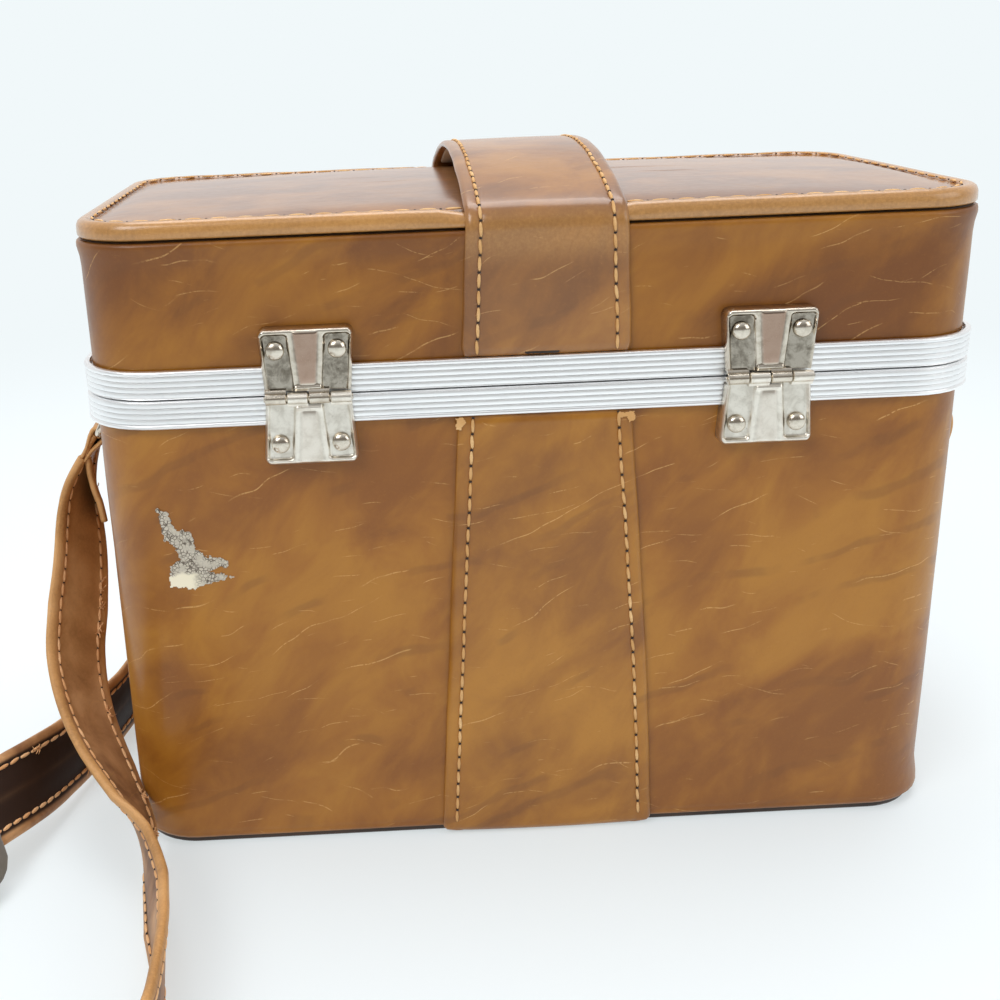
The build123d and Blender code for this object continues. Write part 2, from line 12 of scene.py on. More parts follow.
import bmesh
import bpy
from mathutils import Matrix, Vector, noise
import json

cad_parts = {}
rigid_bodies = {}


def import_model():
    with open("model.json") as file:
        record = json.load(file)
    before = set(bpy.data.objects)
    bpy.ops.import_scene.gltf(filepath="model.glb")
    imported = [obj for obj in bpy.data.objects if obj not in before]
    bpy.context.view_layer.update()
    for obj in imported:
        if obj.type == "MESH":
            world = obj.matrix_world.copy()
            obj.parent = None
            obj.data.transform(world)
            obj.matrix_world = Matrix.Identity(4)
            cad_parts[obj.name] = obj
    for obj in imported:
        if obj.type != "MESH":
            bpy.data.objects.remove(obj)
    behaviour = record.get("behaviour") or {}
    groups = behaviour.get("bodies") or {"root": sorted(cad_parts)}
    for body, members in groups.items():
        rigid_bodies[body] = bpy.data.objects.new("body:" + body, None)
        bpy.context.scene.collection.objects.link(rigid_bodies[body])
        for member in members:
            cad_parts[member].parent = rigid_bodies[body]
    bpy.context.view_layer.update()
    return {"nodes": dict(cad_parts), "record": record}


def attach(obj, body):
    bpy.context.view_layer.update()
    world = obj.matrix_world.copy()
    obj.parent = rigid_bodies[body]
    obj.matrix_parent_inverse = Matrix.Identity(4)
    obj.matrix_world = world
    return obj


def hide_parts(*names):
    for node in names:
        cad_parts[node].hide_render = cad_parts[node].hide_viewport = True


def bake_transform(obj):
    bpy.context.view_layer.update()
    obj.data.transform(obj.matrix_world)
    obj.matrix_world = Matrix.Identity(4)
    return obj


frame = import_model()
MM = 0.001
scene = bpy.context.scene
print("nodes in the frame:", len(frame["nodes"]))

# %% [markdown]
# ## The camera
#
# The photograph was solved as a plain perspective view, so the camera is placed by its position, its
# three turns and its lens. It could be moved by hand until the picture looks right, but a solved
# camera puts every edge of the case in place at once. The small shift says how far the lens's axis
# is from the picture's middle.

# %% Camera
camera_place = Vector((-0.06015, -0.48853, 0.28358))
camera_yaw = 0.0216
camera_pitch = 0.3285
camera_roll = -0.0389
lens_pixels = 1254.2
picture_pixels = 1000
sensor_width = 36.0


def camera_turn(yaw, pitch, roll):
    """The camera's axes as a matrix: right, up and back."""
    ahead = Vector((math.sin(yaw) * math.cos(pitch), math.cos(yaw) * math.cos(pitch), -math.sin(pitch)))
    level = Vector((math.cos(yaw), -math.sin(yaw), 0))
    above = level.cross(ahead)
    right = level * math.cos(roll) + above * math.sin(roll)
    up = above * math.cos(roll) - level * math.sin(roll)
    return Matrix((right, up, -ahead)).transposed().to_4x4()


camera_data = bpy.data.cameras.new("camera")
camera_data.sensor_width = sensor_width
camera_data.lens = lens_pixels / picture_pixels * sensor_width
camera_data.shift_x = 0.1113
camera_data.shift_y = -0.0243
camera_data.clip_start = 0.01
camera = bpy.data.objects.new("camera", camera_data)
camera.matrix_world = Matrix.Translation(camera_place) @ camera_turn(camera_yaw, camera_pitch, camera_roll)
scene.collection.objects.link(camera)
scene.camera = camera
print("lens", round(camera_data.lens, 2), "mm")

# %% [markdown]
# ## Node graphs written as expressions
#
# Materials and Geometry Nodes trees are graphs. They could be drawn by hand in the editor, but a
# script can be read, repeated and changed. One small class adds nodes to a graph and another wraps a
# socket, so that sums on sockets can be written as ordinary Python.


# %% Values of a graph
class Value:
    """A socket of a node graph. An expression on values adds its Math nodes."""

    def __init__(self, graph, socket):
        self.graph = graph
        self.socket = socket

    def math(self, operation, first, second):
        return self.graph.add("ShaderNodeMath", {"operation": operation}, {0: first, 1: second})

    def __add__(self, other):
        return self.math("ADD", self, other)

    def __sub__(self, other):
        return self.math("SUBTRACT", self, other)

    def __rsub__(self, other):
        return self.math("SUBTRACT", other, self)

    def __mul__(self, other):
        return self.math("MULTIPLY", self, other)

    __radd__ = __add__
    __rmul__ = __mul__

    def largest(self, other):
        return self.math("MAXIMUM", self, other)

    def smallest(self, other):
        return self.math("MINIMUM", self, other)

    def size(self):
        return self.math("ABSOLUTE", self, 0)


# %% Nodes of a graph
class Graph:
    """Adds nodes to a tree. Settings are set first, and inputs are numbers, tuples or values."""

    def __init__(self, tree):
        self.tree = tree
        self.tree.nodes.clear()

    def add(self, kind, settings=None, inputs=None, output=0):
        node = self.tree.nodes.new(kind)
        for name, setting in (settings or {}).items():
            setattr(node, name, setting)
        for name, given in (inputs or {}).items():
            if isinstance(given, Value):
                self.tree.links.new(given.socket, node.inputs[name])
            else:
                node.inputs[name].default_value = given
        if not node.outputs:
            return None
        return Value(self, node.outputs[output])

    def blend(self, factor, first, second):
        """A colour between two colours."""
        settings = {"data_type": "RGBA"}
        return self.add("ShaderNodeMix", settings, {0: factor, 6: first, 7: second}, 2)

    def between(self, value, low, high):
        """0 below low, 1 above high, and smooth in between."""
        settings = {"interpolation_type": "SMOOTHSTEP"}
        return self.add("ShaderNodeMapRange", settings, {"Value": value, "From Min": low, "From Max": high})

    def noise(self, place, scale, detail=2.0, rough=0.5, bend=0.0):
        """Soft noise from 0 to 1, with scale in waves to the metre."""
        inputs = {"Vector": place, "Scale": scale, "Detail": detail, "Roughness": rough, "Distortion": bend}
        return self.add("ShaderNodeTexNoise", {}, inputs, "Fac")

    def turned(self, place, turn, stretch, shift=(0, 0, 0)):
        """A pattern's own place: turned, then stretched along its own axes."""
        inputs = {"Vector": place, "Rotation": turn, "Scale": stretch, "Location": shift}
        return self.add("ShaderNodeMapping", {"vector_type": "TEXTURE"}, inputs)

    def axes(self, place):
        """The three numbers of a place."""
        node = self.add("ShaderNodeSeparateXYZ", {}, {0: place}).socket.node
        return [Value(self, socket) for socket in node.outputs]

    def here(self):
        return self.add("ShaderNodeTexCoord", output="Object")

    def attribute(self, name):
        return self.add("ShaderNodeAttribute", {"attribute_name": name}, {}, "Fac")

    def bump(self, height, strength, distance):
        inputs = {"Strength": strength, "Distance": distance, "Height": height}
        return self.add("ShaderNodeBump", {}, inputs)

    def finish(self, surface):
        """Connects a shader to the output."""
        self.add("ShaderNodeOutputMaterial", {}, {"Surface": surface})

    def finish_principled(self, **inputs):
        """Ends a material with one principled shader; an input's name has _ for each space."""
        given = {name.replace("_", " "): value for name, value in inputs.items()}
        self.finish(self.add("ShaderNodeBsdfPrincipled", {}, given))


# %% Colours and empty materials
def linear(red, green, blue):
    """A screen colour, 0 to 255, as the linear colour that nodes want."""
    channels = (c / 255 for c in (red, green, blue))
    return (*(c / 12.92 if c <= 0.04045 else ((c + 0.055) / 1.055) ** 2.4 for c in channels), 1.0)


def new_material(name):
    """An empty material and its graph."""
    material = bpy.data.materials.new(name)
    material.use_nodes = True
    return material, Graph(material.node_tree)


# %% [markdown]
# ## The vinyl
#
# The cover is printed vinyl on cloth: caramel with soft slanted clouds of brown, a fine pressed
# grain, and pale creases where it was bent. The clouds are two noises, each stretched along a slant
# of its own. Creases on old vinyl run long, thin and side by side. So the surface is cut into slanted
# lanes with one line in each, and a noise that differs from lane to lane says where a line shows.
# A picture of vinyl would need a layout of every surface, with a seam somewhere. Noises that read
# the place in space have no seam and keep the same scale on every piece.


# %% Creases
def creases(graph, place, lean, lane, length, width, share, seed):
    """Thin broken lines side by side, 1 on a line. Lengths in metres; share is how much shows."""
    x, y, z = place
    along = x * math.cos(lean) + z * math.sin(lean) + y * 0.9
    over = (z * math.cos(lean) - x * math.sin(lean) + y * 0.35) * (1 / lane) + seed
    index = graph.add("ShaderNodeMath", {"operation": "FLOOR"}, {0: over})
    chance = graph.add("ShaderNodeTexWhiteNoise", {"noise_dimensions": "1D"}, {"W": index + 0.5})
    off = (over - index - 0.25 - chance * 0.5).size()
    inputs = {0: along * (1 / length) + index * 5.3, 1: index * 1.7, 2: seed}
    own = graph.add("ShaderNodeCombineXYZ", {}, inputs)
    shows = graph.noise(own, 1.0, 3.0, 0.55)
    line = 1 - graph.between(off, width / lane * 0.35, width / lane)
    return line * graph.between(shows, 0.62 - 0.3 * share, 0.70 - 0.3 * share)


# %% Vinyl material
def vinyl(name, light, middle, dark, wear_and_fold_shade=1.0, shift=0.0, gloss=0.36, coat=0.25, rolled=0.0):
    """Mottled and creased vinyl. wear scales its creases and the painted shade of its folds. Where the
    bead attribute is above 0 it gets a painted highlight, pale and broken by a fine noise, as strongly as
    rolled says, and where it is below 0 it gets dark painted shade."""
    material, graph = new_material(name)
    light, middle, dark = (linear(*colour) for colour in (light, middle, dark))
    here = graph.here()
    slanted = graph.turned(here, (0, -0.42, 0), (2.6, 1, 1), (shift, 0.0, shift))
    cloud = graph.noise(slanted, 17.0, 3.0, 0.55, 0.5)
    steeper = graph.turned(here, (0, -0.95, 0), (1.8, 1, 1), (shift, 3.0, 1.0))
    patch = graph.noise(steeper, 42.0, 4.0, 0.62, 0.5)
    shade = graph.between(cloud * 0.62 + patch * 0.40, 0.36, 0.67)
    colour = graph.blend(graph.between(shade, 0.0, 0.6), dark, middle)
    colour = graph.blend(graph.between(shade, 0.45, 1.0), colour, light)
    fine = graph.noise(here, 900.0, 3.0, 0.65)
    colour = graph.blend(graph.between(fine, 0.5, 0.8) * 0.16, colour, light)
    colour = graph.blend(graph.between(fine, 0.5, 0.2) * 0.14, colour, dark)

    wander = graph.add("ShaderNodeTexNoise", {}, {"Vector": here, "Scale": 16.0, "Detail": 3.0}, "Color")
    settings = {"operation": "MULTIPLY_ADD"}
    bent = graph.add("ShaderNodeVectorMath", settings, {0: wander, 1: (0.028, 0.028, 0.028), 2: here})
    place = graph.axes(bent)
    rising = creases(graph, place, 0.38, 0.0110, 0.030, 0.00028, 0.24, 3.0)
    flat = creases(graph, place, 0.10, 0.0070, 0.018, 0.00022, 0.20, 41.0)
    falling = creases(graph, place, -0.25, 0.0120, 0.020, 0.00022, 0.18, 77.0)
    fold = creases(graph, place, 0.32, 0.0160, 0.050, 0.0022, 0.36, 19.0)
    crease = rising.largest(flat * 0.8).largest(falling * 0.7) * graph.between(fine, 0.3, 0.55)
    # The wide fold lines are painted shade: dark lines where a fold would be shaded, with no relief under
    # them.
    colour = graph.blend(fold * (0.28 * wear_and_fold_shade), colour, linear(104, 62, 26))
    colour = graph.blend(crease * (0.5 * wear_and_fold_shade), colour, linear(226, 178, 112))
    colour = graph.blend(graph.between(fine, 0.74, 0.80) * (0.55 * wear_and_fold_shade), colour, linear(222, 180, 122))
    # Painted light: a pale painted highlight where the bead attribute is above 0, and dark painted shade
    # where it is below 0.
    if rolled:
        bead = graph.attribute("bead")
        painted_highlight = graph.between(bead, 0.0, 1.0) * (0.3 + fine * 1.1)
        colour = graph.blend(painted_highlight * rolled, colour, linear(226, 172, 104))
        colour = graph.blend(graph.between(bead, 0.0, -1.0), colour, linear(40, 22, 13))
    grain = graph.noise(here, 260.0, 4.0, 0.6)
    roughness = gloss + grain * 0.12 + crease * 0.1
    wrinkle = graph.noise(graph.turned(here, (0, -0.5, 0), (1.8, 1, 1)), 95.0, 3.0, 0.6, 0.4)
    height = wrinkle * 0.9 + grain * 0.16
    graph.finish_principled(
        Base_Color=colour,
        Roughness=roughness,
        Normal=graph.bump(height, 0.4, 0.0006),
        Coat_Weight=coat,
        Coat_Roughness=0.2,
        Specular_IOR_Level=0.35,
    )
    return material


# %% Vinyl of each piece
vinyl_base = vinyl("brown vinyl, base", (173, 117, 38), (158, 101, 31), (134, 80, 25))
vinyl_lid = vinyl("brown vinyl, lid", (162, 106, 30), (143, 89, 25), (116, 67, 21), 0.9, 2.3)
vinyl_top = vinyl(
    "brown vinyl, top panel", (162, 108, 44), (146, 93, 34), (120, 73, 28), 0.25, 4.1, 0.3, 0.9, 0.5
)
vinyl_strip = vinyl(
    "brown vinyl, strip", (178, 121, 38), (160, 104, 30), (134, 82, 25), 1.0, 6.4, 0.34, 0.4
)
vinyl_handle = vinyl(
    "brown vinyl, handle", (170, 115, 44), (150, 96, 34), (121, 74, 27), 0.8, 6.4, 0.34, 0.9, 0.6
)
vinyl_strap = vinyl(
    "brown vinyl, strap", (206, 160, 114), (176, 128, 84), (124, 82, 52), 0.3, 8.0, 0.5, 0.05, 0.6
)
vinyl_bottom = vinyl("dark vinyl, bottom", (70, 50, 36), (52, 36, 26), (34, 24, 18), 0.2, 1.0)
print("vinyl materials:", 7)

# %% [markdown]
# ## Metal, thread, cloth and pad
#
# The aluminium is satin and almost white. The hinges are nickel plate with a warm tint, cloudy
# where fingers and time have dulled it. On a hinge the darkening and the pinkish middle follow the
# stamped relief: a painted dark reflection on the sunken panels, painted shade in the grooves and
# along the sides with some darkened nickel, and a painted pinkish reflection on the middle. A noise
# can't know the relief, so the mesh carries both as attributes, called tarnish and blush, and the
# material reads them. The base's leaves are a paler copy of the nickel, painted brighter. Threads
# are a pale tan with a twist.


# %% Metals
def metal(name, bright, dull, smooth, rough, cloud_scale, brush=None):
    """Plated or polished metal with dull clouds; brush stretches fine scratches along an axis."""
    material, graph = new_material(name)
    bright, dull = linear(*bright), linear(*dull)
    here = graph.here()
    cloud = graph.between(graph.noise(here, cloud_scale, 4.0, 0.65, 0.4), 0.38, 0.70)
    speck = graph.between(graph.noise(here, cloud_scale * 9, 2.0, 0.6), 0.64, 0.74)
    dulled = (cloud * 0.7 + speck * 0.5).smallest(1.0)
    colour = graph.blend(dulled, bright, dull)
    # Painted dark reflection and shade where the tarnish attribute says, with some darkened nickel.
    colour = graph.blend(graph.attribute("tarnish_and_shade") * (dulled * 0.5 + 0.5), colour, linear(92, 85, 74))
    # A painted pinkish reflection where the blush attribute says.
    colour = graph.blend(graph.attribute("painted_reflection_tint"), colour, linear(164, 134, 116))
    scratch = graph.noise(graph.turned(here, (0, 0, 0), brush or (1, 1, 1)), 900.0, 3.0, 0.6)
    roughness = smooth + dulled * (rough - smooth) + scratch * 0.05
    bump = graph.bump(scratch, 0.08, 0.0002)
    graph.finish_principled(Base_Color=colour, Metallic=1.0, Roughness=roughness, Normal=bump)
    return material


aluminium = metal("satin aluminium", (253, 253, 253), (244, 245, 246), 0.34, 0.40, 30.0, (70, 70, 0.3))
nickel = metal("nickel plate", (222, 213, 198), (184, 172, 155), 0.14, 0.28, 220.0)
# A paler, rougher copy of the nickel for the base's leaves; its paler colour is painted light.
paler_rougher_nickel = metal("nickel plate, paler and rougher", (240, 234, 222), (214, 206, 192), 0.26, 0.38, 220.0)
dark_steel = metal("plain spring steel", (150, 150, 152), (110, 110, 112), 0.25, 0.4, 90.0)
print("metals:", 4)


# %% Thread, cloth and pad materials
def thread_material(name, colour, shade):
    """Twisted sewing thread."""
    material, graph = new_material(name)
    colour, shade = linear(*colour), linear(*shade)
    here = graph.here()
    twist = graph.noise(here, 1500.0, 2.0, 0.6)
    tint = graph.blend(graph.between(graph.noise(here, 60.0), 0.35, 0.7), shade, colour)
    tint = graph.blend(graph.between(twist, 0.35, 0.65) * 0.35, tint, shade)
    graph.finish_principled(Base_Color=tint, Roughness=0.75, Normal=graph.bump(twist, 0.5, 0.0002))
    return material


def cloth_material(name, colour, shade, weave_scale, relief):
    """Plain cloth or felt."""
    material, graph = new_material(name)
    colour, shade = linear(*colour), linear(*shade)
    here = graph.here()
    cloud = graph.between(graph.noise(here, 35.0, 3.0, 0.6), 0.3, 0.7)
    fibre = graph.noise(here, weave_scale, 4.0, 0.7, 0.5)
    tint = graph.blend(cloud * 0.4 + fibre * 0.5, shade, colour)
    bump = graph.bump(fibre, relief, 0.0004)
    graph.finish_principled(Base_Color=tint, Roughness=0.9, Normal=bump, Sheen_Weight=0.25)
    return material


thread = thread_material("tan thread", (238, 198, 142), (206, 156, 96))
strap_thread = thread_material("pinkish thread", (242, 196, 146), (214, 158, 104))
# The needle holes and the slit are dark shapes whose colour is painted shade.
hole_shade = cloth_material("needle hole", (52, 30, 16), (30, 17, 9), 900.0, 0.2)
lining_cloth = cloth_material("lining cloth", (140, 106, 72), (104, 76, 50), 1300.0, 0.5)
felt = cloth_material("felt", (128, 96, 66), (92, 66, 44), 700.0, 0.8)
cream_cloth = cloth_material("cream backing cloth", (214, 204, 186), (176, 164, 146), 1100.0, 0.5)
board = cloth_material("fibreboard", (150, 122, 90), (118, 92, 66), 500.0, 0.4)
pad_material = cloth_material("grey pad", (128, 122, 112), (100, 95, 86), 260.0, 0.12)
print("threads and cloths:", 8)

# %% [markdown]
# ## Meshes from rows of points
#
# Most of this case is something swept: a wall round a plan, a strip along a path. Boxes with bevels
# could stand in for it, but rows of points keep each height and inset a number that was measured.
# One helper makes quads between rows, closes them where they meet and turns all faces outward.


# %% Pieces and meshes
def put_in_scene(name, mesh, material):
    """An object for a mesh, with one material."""
    mesh.name = name
    mesh.materials.clear()
    mesh.materials.append(material)
    made = bpy.data.objects.new(name.replace(" ", "-"), mesh)
    scene.collection.objects.link(made)
    return made


def build_mesh(name, points, faces, smooth=True, sharp=0.0):
    """A mesh from points in millimetres. Doubles are merged, and faces point outward."""
    mesh = bpy.data.meshes.new(name)
    mesh.from_pydata([Vector(p) * MM for p in points], [], faces)
    work = bmesh.new()
    work.from_mesh(mesh)
    bmesh.ops.remove_doubles(work, verts=work.verts, dist=1e-6)
    bmesh.ops.recalc_face_normals(work, faces=work.faces)
    for face in work.faces:
        face.smooth = smooth
    if sharp:
        for edge in work.edges:
            if len(edge.link_faces) == 2:
                edge.smooth = edge.calc_face_angle() < sharp
    work.to_mesh(mesh)
    work.free()
    return mesh


# %% Swept pieces
def row_faces(count, wide, around, along):
    """Quads between rows: around joins each row's ends, and along joins the last row to the first."""
    faces = []
    for i in range(count if along else count - 1):
        for j in range(wide if around else wide - 1):
            k = (j + 1) % wide
            n = (i + 1) % count
            faces.append((i * wide + j, i * wide + k, n * wide + k, n * wide + j))
    if around and not along:
        faces.append(tuple(range(wide)))
        faces.append(tuple(range((count - 1) * wide, count * wide)))
    return faces


def swept(name, rows, material, around=True, along=False, sharp=0.0):
    """A piece made of rows of points."""
    points = [p for row in rows for p in row]
    faces = row_faces(len(rows), len(rows[0]), around, along)
    return put_in_scene(name, build_mesh(name, points, faces, True, sharp), material)


def joined(name, parts, material):
    """One piece from several, when they are made of the same stuff."""
    work = bmesh.new()
    for part in parts:
        work.from_mesh(part.data)
        bpy.data.objects.remove(part)
    mesh = bpy.data.meshes.new(name)
    work.to_mesh(mesh)
    work.free()
    return put_in_scene(name, mesh, material)


def evaluated(made):
    """The piece with its modifiers applied."""
    graph = bpy.context.evaluated_depsgraph_get()
    mesh = bpy.data.meshes.new_from_object(made.evaluated_get(graph))
    made.modifiers.clear()
    made.data = mesh
    return made


# %% Soft steps and ripples
def smooth_step(low, high, value):
    """0 below low, 1 above high, and smooth in between."""
    share = min(1.0, max(0.0, (value - low) / (high - low)))
    return share * share * (3 - 2 * share)


def ripple(x, y, z, scale, seed):
    """Soft random height from -1 to 1, with scale in millimetres."""
    return noise.noise(Vector((x / scale + seed, y / scale, z / scale + seed)))


# %% [markdown]
# ## Sewing with Geometry Nodes
#
# A seam is a line of short threads that dip into needle holes. It could be a pattern in a material,
# but real threads stand up from the vinyl and catch the light. The tree takes a polyline with an
# outward direction at each point, spaces points a stitch apart, and puts a thread on each point and
# a dark hole between two threads, whose darkness is painted shade. Each thread is tilted a little at
# random, from a fixed seed. One tree sews every seam, with its sizes as inputs.


# %% Stitch tree
def stitch_tree():
    """Threads and needle holes along a line."""
    tree = bpy.data.node_groups.new("stitches", "GeometryNodeTree")
    sockets = [
        ("Seam", "NodeSocketGeometry"),
        ("Pitch", "NodeSocketFloat"),
        ("Thread size", "NodeSocketVector"),
        ("Hole size", "NodeSocketVector"),
        ("Slant", "NodeSocketFloat"),
        ("Seed", "NodeSocketInt"),
        ("Thread", "NodeSocketMaterial"),
        ("Hole", "NodeSocketMaterial"),
    ]
    for name, kind in sockets:
        tree.interface.new_socket(name, in_out="INPUT", socket_type=kind)
    tree.interface.new_socket("Stitches", in_out="OUTPUT", socket_type="NodeSocketGeometry")
    graph = Graph(tree)
    group = tree.nodes.new("NodeGroupInput")
    given = {name: Value(graph, group.outputs[name]) for name, _ in sockets}
    line = graph.add("GeometryNodeMeshToCurve", {}, {"Mesh": given["Seam"]})
    spaced = {"Curve": line, "Length": given["Pitch"]}
    if bpy.app.version >= (5, 0, 0):
        spaced["Mode"] = "Length"
        line = graph.add("GeometryNodeResampleCurve", {}, spaced)
    else:
        line = graph.add("GeometryNodeResampleCurve", {"mode": "LENGTH"}, spaced)
    out = graph.add("GeometryNodeInputNamedAttribute", {"data_type": "FLOAT_VECTOR"}, {"Name": "out"})
    tangent = graph.add("GeometryNodeInputTangent")
    axes = {"primary_axis": "X", "secondary_axis": "Z"}
    square = graph.add("FunctionNodeAxesToRotation", axes, {0: tangent, 1: out})
    ball = graph.add("GeometryNodeMeshUVSphere", {}, {"Segments": 8, "Rings": 6})
    placed = {"Points": line, "Instance": ball, "Rotation": square, "Scale": given["Thread size"]}
    threads = graph.add("GeometryNodeInstanceOnPoints", {}, placed)
    drawn = {2: -1.0, 3: 1.0, "Seed": given["Seed"]}
    random = graph.add("FunctionNodeRandomValue", {"data_type": "FLOAT"}, drawn, 1)
    tilt = given["Slant"] + random * 0.07
    turn = graph.add("ShaderNodeCombineXYZ", {}, {"Z": tilt})
    threads = graph.add("GeometryNodeRotateInstances", {}, {"Instances": threads, "Rotation": turn})
    half_pitch = {0: tangent, "Scale": given["Pitch"] * 0.5}
    step = graph.add("ShaderNodeVectorMath", {"operation": "SCALE"}, half_pitch)
    placed["Points"] = graph.add("GeometryNodeSetPosition", {}, {"Geometry": line, "Offset": step})
    placed["Scale"] = given["Hole size"]
    holes = graph.add("GeometryNodeInstanceOnPoints", {}, placed)
    parts = []
    for instances, material in ((threads, "Thread"), (holes, "Hole")):
        real = graph.add("GeometryNodeRealizeInstances", {}, {"Geometry": instances})
        smooth = graph.add("GeometryNodeSetShadeSmooth", {}, {0: real})
        dressed = {"Geometry": smooth, "Material": given[material]}
        parts.append(graph.add("GeometryNodeSetMaterial", {}, dressed))
    both = tree.nodes.new("GeometryNodeJoinGeometry")
    for part in parts:
        tree.links.new(part.socket, both.inputs[0])
    output = tree.nodes.new("NodeGroupOutput")
    tree.links.new(both.outputs[0], output.inputs[0])
    return tree


stitching = stitch_tree()
print("stitch tree with", len(stitching.nodes), "nodes")

# %% Sew seams
thread_size = (2.6, 0.62, 0.6)
hole_size = (0.42, 0.6, 0.36)


def sew(name, seams, body, slot, size=thread_size, slant=0.05, kind=thread, hole=hole_size, pitch=5.5):
    """Sews lines of (point, outward direction), in millimetres, as one piece on a body."""
    mesh = bpy.data.meshes.new(name)
    points = [Vector(p) * MM for seam in seams for p, _ in seam]
    edges = []
    start = 0
    for seam in seams:
        edges += [(start + i, start + i + 1) for i in range(len(seam) - 1)]
        start += len(seam)
    mesh.from_pydata(points, edges, [])
    out = mesh.attributes.new("out", "FLOAT_VECTOR", "POINT")
    outward = [c for seam in seams for _, direction in seam for c in direction]
    out.data.foreach_set("vector", outward)
    made = bpy.data.objects.new(name.replace(" ", "-"), mesh)
    scene.collection.objects.link(made)
    modifier = made.modifiers.new("stitches", "NODES")
    modifier.node_group = stitching
    values = {
        "Pitch": pitch * MM,
        "Thread size": [s * MM for s in size],
        "Hole size": [s * MM for s in hole],
        "Slant": slant,
        "Seed": len(name),
        "Thread": kind,
        "Hole": hole_shade,
    }
    for item in stitching.interface.items_tree:
        if item.name in values:
            modifier[item.identifier] = values[item.name]
    made.update_tag()
    evaluated(made)
    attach(made, body)
    print(name, "faces", len(made.data.polygons))
    return made


# %% [markdown]
# ## The shoulder strap
#
# The strap is one flat cord, about 1.25 m from ring to ring. The photograph shows only its start at
# the left ring and a stretch that comes out from behind the case, so its middle lies outside the
# view. Its line is a smooth spline with listed control points. They are those of the CAD source,
# moved a little where the photograph shows the strap. A second list says which way the width lies,
# because the strap twists once and then stands on edge. A bevelled curve could make a strap too, but
# its tilt is hard to steer, while a list of directions is plain.

# %% Strap route and width directions
strap_route = [
    (-0.1700, 0.0, 0.1345),
    (-0.1762, 0.0, 0.1225),
    (-0.1766, -0.003, 0.1080),
    (-0.1762, -0.011, 0.0910),
    (-0.1775, -0.021, 0.0740),
    (-0.1785, -0.033, 0.0580),
    (-0.1730, -0.0490, 0.0420),
    (-0.1625, -0.0670, 0.0305),
    (-0.1490, -0.0890, 0.0205),
    (-0.1425, -0.1090, 0.0160),
    (-0.1360, -0.1340, 0.0153),
    (-0.1290, -0.1680, 0.0153),
    (-0.1290, -0.2080, 0.0153),
    (-0.1540, -0.2400, 0.0153),
    (-0.2020, -0.2540, 0.0153),
    (-0.2410, -0.2440, 0.0153),
    (-0.2650, -0.2140, 0.0245),
    (-0.2640, -0.1760, 0.0245),
    (-0.2360, -0.1310, 0.0237),
    (-0.2030, -0.0840, 0.0240),
    (-0.1860, -0.0450, 0.0175),
    (-0.1695, 0.0040, 0.0153),
    (-0.1630, 0.0560, 0.0153),
    (-0.1470, 0.1000, 0.0153),
    (-0.1040, 0.1160, 0.0153),
    (-0.0400, 0.1110, 0.0153),
    (0.0500, 0.1150, 0.0153),
    (0.1180, 0.1120, 0.0156),
    (0.1590, 0.0920, 0.0250),
    (0.1720, 0.0600, 0.0480),
    (0.1705, 0.0280, 0.0780),
    (0.1700, 0.0080, 0.1060),
    (0.1774, 0.0, 0.1315),
    (0.1744, 0.0, 0.1369),
]
strap_lay = [
    (0.05, 1.0, 0.0),
    (0.18, 0.98, -0.05),
    (0.36, 0.92, -0.1),
    (0.5, 0.84, -0.2),
    (0.6, 0.75, -0.3),
    (0.56, 0.76, -0.34),
    (0.45, 0.82, -0.38),
    (0.4, 0.76, -0.5),
    (0.28, 0.62, -0.73),
    (-0.15, 0.3, -0.94),
    (-0.28, 0.0, -0.96),
    (-0.1, 0.0, -1.0),
    (0.0, 0.0, -1.0),
    (0.0, 0.0, -1.0),
    (0.0, 0.0, -1.0),
    (0.0, 0.0, -1.0),
    (0.5, -0.1, -0.85),
    (0.65, -0.3, -0.7),
    (0.62, -0.42, -0.66),
    (0.6, -0.4, -0.7),
    (0.2, -0.1, -0.97),
    (0.0, 0.0, -1.0),
    (0.0, 0.0, -1.0),
    (0.0, 0.0, -1.0),
    (0.0, 0.0, -1.0),
    (0.0, 0.0, -1.0),
    (0.0, 0.0, -1.0),
    (0.0, 0.0, -1.0),
    (0.0, -0.3, -0.95),
    (0.0, -0.7, -0.7),
    (0.0, -0.9, -0.4),
    (0.0, -1.0, -0.15),
    (0.0, -1.0, 0.0),
    (0.0, -1.0, 0.0),
]
strap_width = 30.0
strap_thick = 3.5
print("strap points:", len(strap_route))


# %% Strap line
def spline_points(route, resolution):
    """Points in millimetres along the spline whose control points are the route, in metres."""
    curve = bpy.data.curves.new("route", "CURVE")
    curve.dimensions = "3D"
    curve.resolution_u = resolution
    spline = curve.splines.new("NURBS")
    spline.points.add(len(route) - 1)
    for point, place in zip(spline.points, route):
        point.co = (*place, 1.0)
    spline.order_u = 3
    spline.use_endpoint_u = True
    holder = bpy.data.objects.new("route", curve)
    mesh = bpy.data.meshes.new_from_object(holder)
    found = [v.co / MM for v in mesh.vertices]
    bpy.data.objects.remove(holder)
    bpy.data.curves.remove(curve)
    bpy.data.meshes.remove(mesh)
    return found


def lay_of(share):
    """The width's direction at a share of the spline, from 0 to 1, between the listed ones."""
    spans = len(strap_lay) - 2
    place = min(max(share * spans + 0.5, 0.0), len(strap_lay) - 1.001)
    if share * spans < 0.5:
        place = share * spans * 2
    if share * spans > spans - 0.5:
        place = len(strap_lay) - 1.001 - (spans - share * spans) * 2
    low = min(int(max(place, 0.0)), len(strap_lay) - 2)
    part = place - low
    return Vector(strap_lay[low]).lerp(Vector(strap_lay[low + 1]), part)


